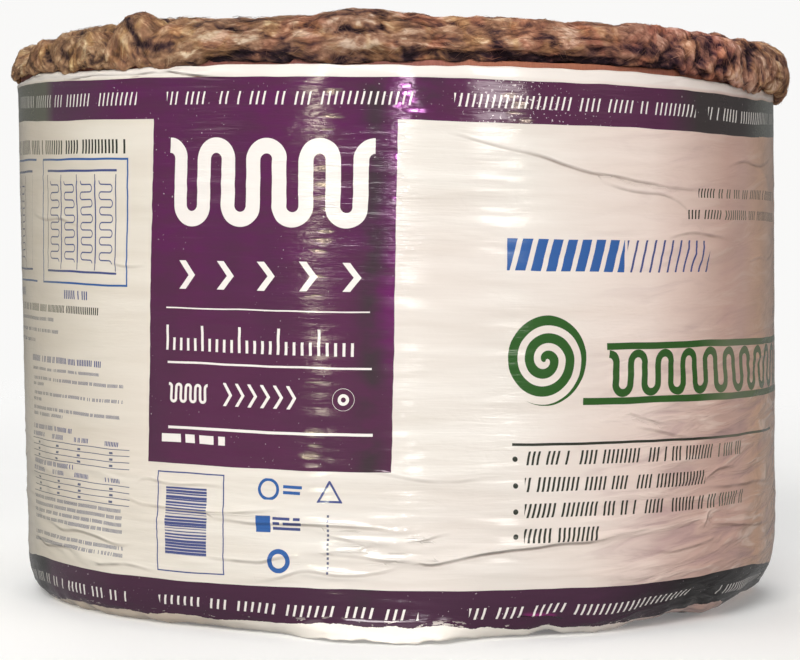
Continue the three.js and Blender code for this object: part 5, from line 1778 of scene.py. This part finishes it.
def build_kraft_turns(material):
    """The paper between the turns: one long ribbon wound with the wool."""
    phi = []
    for k in range(1, TURNS):
        rm = WOOL_R - PITCH * k
        n = max(60, int(2 * math.pi * rm / 3.6))
        phi.append((k - 1) * 2 * math.pi + np.arange(n) / n * 2 * math.pi)
    phi = np.concatenate(phi + [np.array([(TURNS - 1) * 2 * math.pi])])
    phi = phi[phi > 0.02]
    k = np.minimum((phi / (2 * math.pi)).astype(int) + 1, TURNS - 1)
    rel = phi - (k - 1) * 2 * math.pi
    r = np.array([float(turn_radius(int(a), np.array(b))) for a, b in zip(k, rel)])
    th = SEAM + rel
    n = len(phi)
    run = np.concatenate([[0], np.cumsum(np.diff(phi) * 0.5 * (r[1:] + r[:-1]))])
    top = crest(r, th) - 5.6 + 1.4 * perlin(run / 40.0, 0 * run, 131) + 0.6 * perlin(run / 9.0, 0 * run, 132)
    sect = []
    for off, zrow in ((0.18, None), (0.18, 352.0), (0.18, 14.0), (-0.18, 14.0), (-0.18, 352.0), (-0.18, None)):
        z = top if zrow is None else np.full(n, zrow)
        wav = 0.35 * perlin(run / 12.0, 0 * run, 133) if zrow is None else 0.0
        rr = r + off + wav
        sect.append(place(np.minimum(rr + buckle(rr, th), (243.5 if zrow == 14.0 else 262.0) + off), th, z))
    G = np.stack(sect, 1)
    quads = ring_faces(n, 6, False, True)
    a, b = np.arange(6), (n - 1) * 6 + np.arange(6)
    caps = np.array([[a[0], a[5], a[4], a[1]], [a[1], a[4], a[3], a[2]], [b[0], b[1], b[4], b[5]], [b[1], b[2], b[3], b[4]]])
    ob = make_mesh("kraft_facing_turns", G.reshape(-1, 3), [quads, caps], material)
    print("kraft ribbon: %d triangles" % (2 * len(quads)))
    return ob


# ---------------------------------------------------------------- build
film_mat = film_material()
kraft_mat = kraft_material()
wool_mat = wool_material("glass_wool")
fibre_mat = wool_material("glass_wool_fibre", strand=True)

film = build_film(film_mat)
rim, rim_info = build_rim(wool_mat)
turns, turns_info = build_turns(wool_mat)
rim_f = rim_fibres(rim_info, fibre_mat)
end_f = end_fibres(turns_info, fibre_mat)
lap = build_kraft(kraft_mat)
ribbon = build_kraft_turns(kraft_mat)

for ob in (film, rim, turns, rim_f, end_f, lap, ribbon):
    bm_ok = ob.data.validate(verbose=False)
    if bm_ok:
        print("mesh repaired:", ob.name)
    if ob in (film, rim, lap):
        ob.data.flip_normals()  # these were wound to face in
    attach(ob, "root")
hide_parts("film_wrap")
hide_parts("kraft_facing")
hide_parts("glass_wool_roll")
for n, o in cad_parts.items():
    o.data.materials.clear()
    o.data.materials.append({"film_wrap": film_mat, "kraft_facing": kraft_mat}.get(n, wool_mat))


# ---------------------------------------------------------------- floor, light, world
def floor_material():
    """A pale floor that fades into the backdrop away from the roll and throws little light back up."""
    g = Graph("studio_floor")
    at = g.coords()
    n = g.noise(at, 3.0, 3.0, 0.5)
    g.set(Base_Color=g.mix(n, (0.85, 0.85, 0.845), (0.88, 0.88, 0.875)))
    g.bsdf.inputs["Roughness"].default_value = 0.9
    g.bsdf.inputs["Specular IOR Level"].default_value = 0.0
    g.bsdf.inputs["Emission Color"].default_value = (1.0, 1.0, 0.995, 1.0)
    g.bsdf.inputs["Emission Strength"].default_value = 0.16
    xyz = g.sep(at)
    far = g.m("SQRT", g.m("ADD", g.m("MULTIPLY", xyz[0], xyz[0]), g.m("MULTIPLY", xyz[1], xyz[1])))
    clear = g.nt.nodes.new("ShaderNodeBsdfTransparent")
    both = g.nt.nodes.new("ShaderNodeMixShader")
    ray = g.nt.nodes.new("ShaderNodeLightPath").outputs
    spare = g.m("ADD", g.m("MULTIPLY", ray["Is Diffuse Ray"], 0.5), g.m("MULTIPLY", ray["Is Glossy Ray"], 0.88))
    g.put(both.inputs[0], g.m("MAXIMUM", g.span(far, 0.9, 2.6), spare))
    g.nt.links.new(g.bsdf.outputs[0], both.inputs[1])
    g.nt.links.new(clear.outputs[0], both.inputs[2])
    g.nt.links.new(both.outputs[0], g.out.inputs["Surface"])
    return g.mat


rings = [0.0, 0.5, 1.2, 3.0, 7.0, 16.0]
seg = 64
co = [(0.0, 0.0, 0.0)]
for rr in rings[1:]:
    for j in range(seg):
        a = 2 * math.pi * j / seg
        co.append((rr * math.cos(a), rr * math.sin(a), 0.0))
tris = np.array([(0, 1 + j, 1 + (j + 1) % seg) for j in range(seg)])
quads = []
for i in range(len(rings) - 2):
    for j in range(seg):
        a, b = 1 + i * seg + j, 1 + i * seg + (j + 1) % seg
        quads.append((a, a + seg, b + seg, b))
floor = make_mesh("studio_floor", np.array(co), [tris, np.array(quads)], floor_material(), False)


def area(name, az, el, dist, w, h, power, colour=(1, 1, 1), target=(0, 0, 0.19), spread=180):
    """An area light. power is that of a full spread; a narrower one keeps the same brightness on its axis."""
    data = bpy.data.lights.new(name, "AREA")
    data.shape = "RECTANGLE"
    data.size, data.size_y = w, h
    half = math.radians(spread) / 2
    data.spread = 2 * half
    data.energy = power * (1.0 if spread >= 180 else 1.0 - half / math.tan(half))
    data.color = colour
    ob = bpy.data.objects.new(name, data)
    a, e = math.radians(az), math.radians(el)
    t = Vector(target)
    back = Vector((math.sin(a) * math.cos(e), -math.cos(a) * math.cos(e), math.sin(e)))
    ob.location = t + back * dist
    ob.rotation_mode = "QUATERNION"
    ob.rotation_quaternion = (-back).to_track_quat("-Z", "Y")
    bpy.context.scene.collection.objects.link(ob)
    ob.visible_camera = False
    return ob


area("glint_main", 2.8, 3.2, 4.2, 0.1, 0.46, 8.0, target=(0, 0, 0.27), spread=40)
area("glint_left", -22.4, 1.6, 4.2, 0.13, 0.6, 7.4, (0.98, 1.0, 0.7), target=(0, 0, 0.26), spread=40)
area("glint_right", 33.4, 4.4, 4.2, 0.1, 0.22, 1.9, (1.0, 0.97, 0.84), target=(0, 0, 0.28), spread=40)
area("key_front", -12, 27, 4.4, 1.6, 1.6, 127, (1.0, 0.985, 0.96))
area("key_right", 28, 14, 4.4, 0.7, 1.4, 27, (1.0, 0.97, 0.94))
area("fill_left", -62, 24, 4.4, 2.2, 2.2, 21, (1.0, 0.98, 0.9))
area("fill_right", 62, 22, 4.6, 2.0, 2.0, 5, (1.0, 0.84, 0.76))
area("back_fill", 190, 34, 4.8, 2.6, 2.6, 70)
sun = bpy.data.lights.new("overhead", "SUN")
sun.energy = 0.66
sun.angle = math.radians(60)
sun_ob = bpy.data.objects.new("overhead", sun)
bpy.context.scene.collection.objects.link(sun_ob)

world = bpy.data.worlds.new("studio")
world.use_nodes = True
wt = world.node_tree
bg = wt.nodes["Background"]
path = wt.nodes.new("ShaderNodeLightPath")
level = wt.nodes.new("ShaderNodeMapRange")
level.inputs[3].default_value = 0.18
level.inputs[4].default_value = 0.95
wt.links.new(path.outputs["Is Camera Ray"], level.inputs[0])
wt.links.new(level.outputs[0], bg.inputs[1])
bg.inputs[0].default_value = (1.0, 0.995, 0.985, 1.0)
bpy.context.scene.world = world
bpy.context.scene.view_settings.view_transform = "Standard"
bpy.context.scene.view_settings.look = "None"
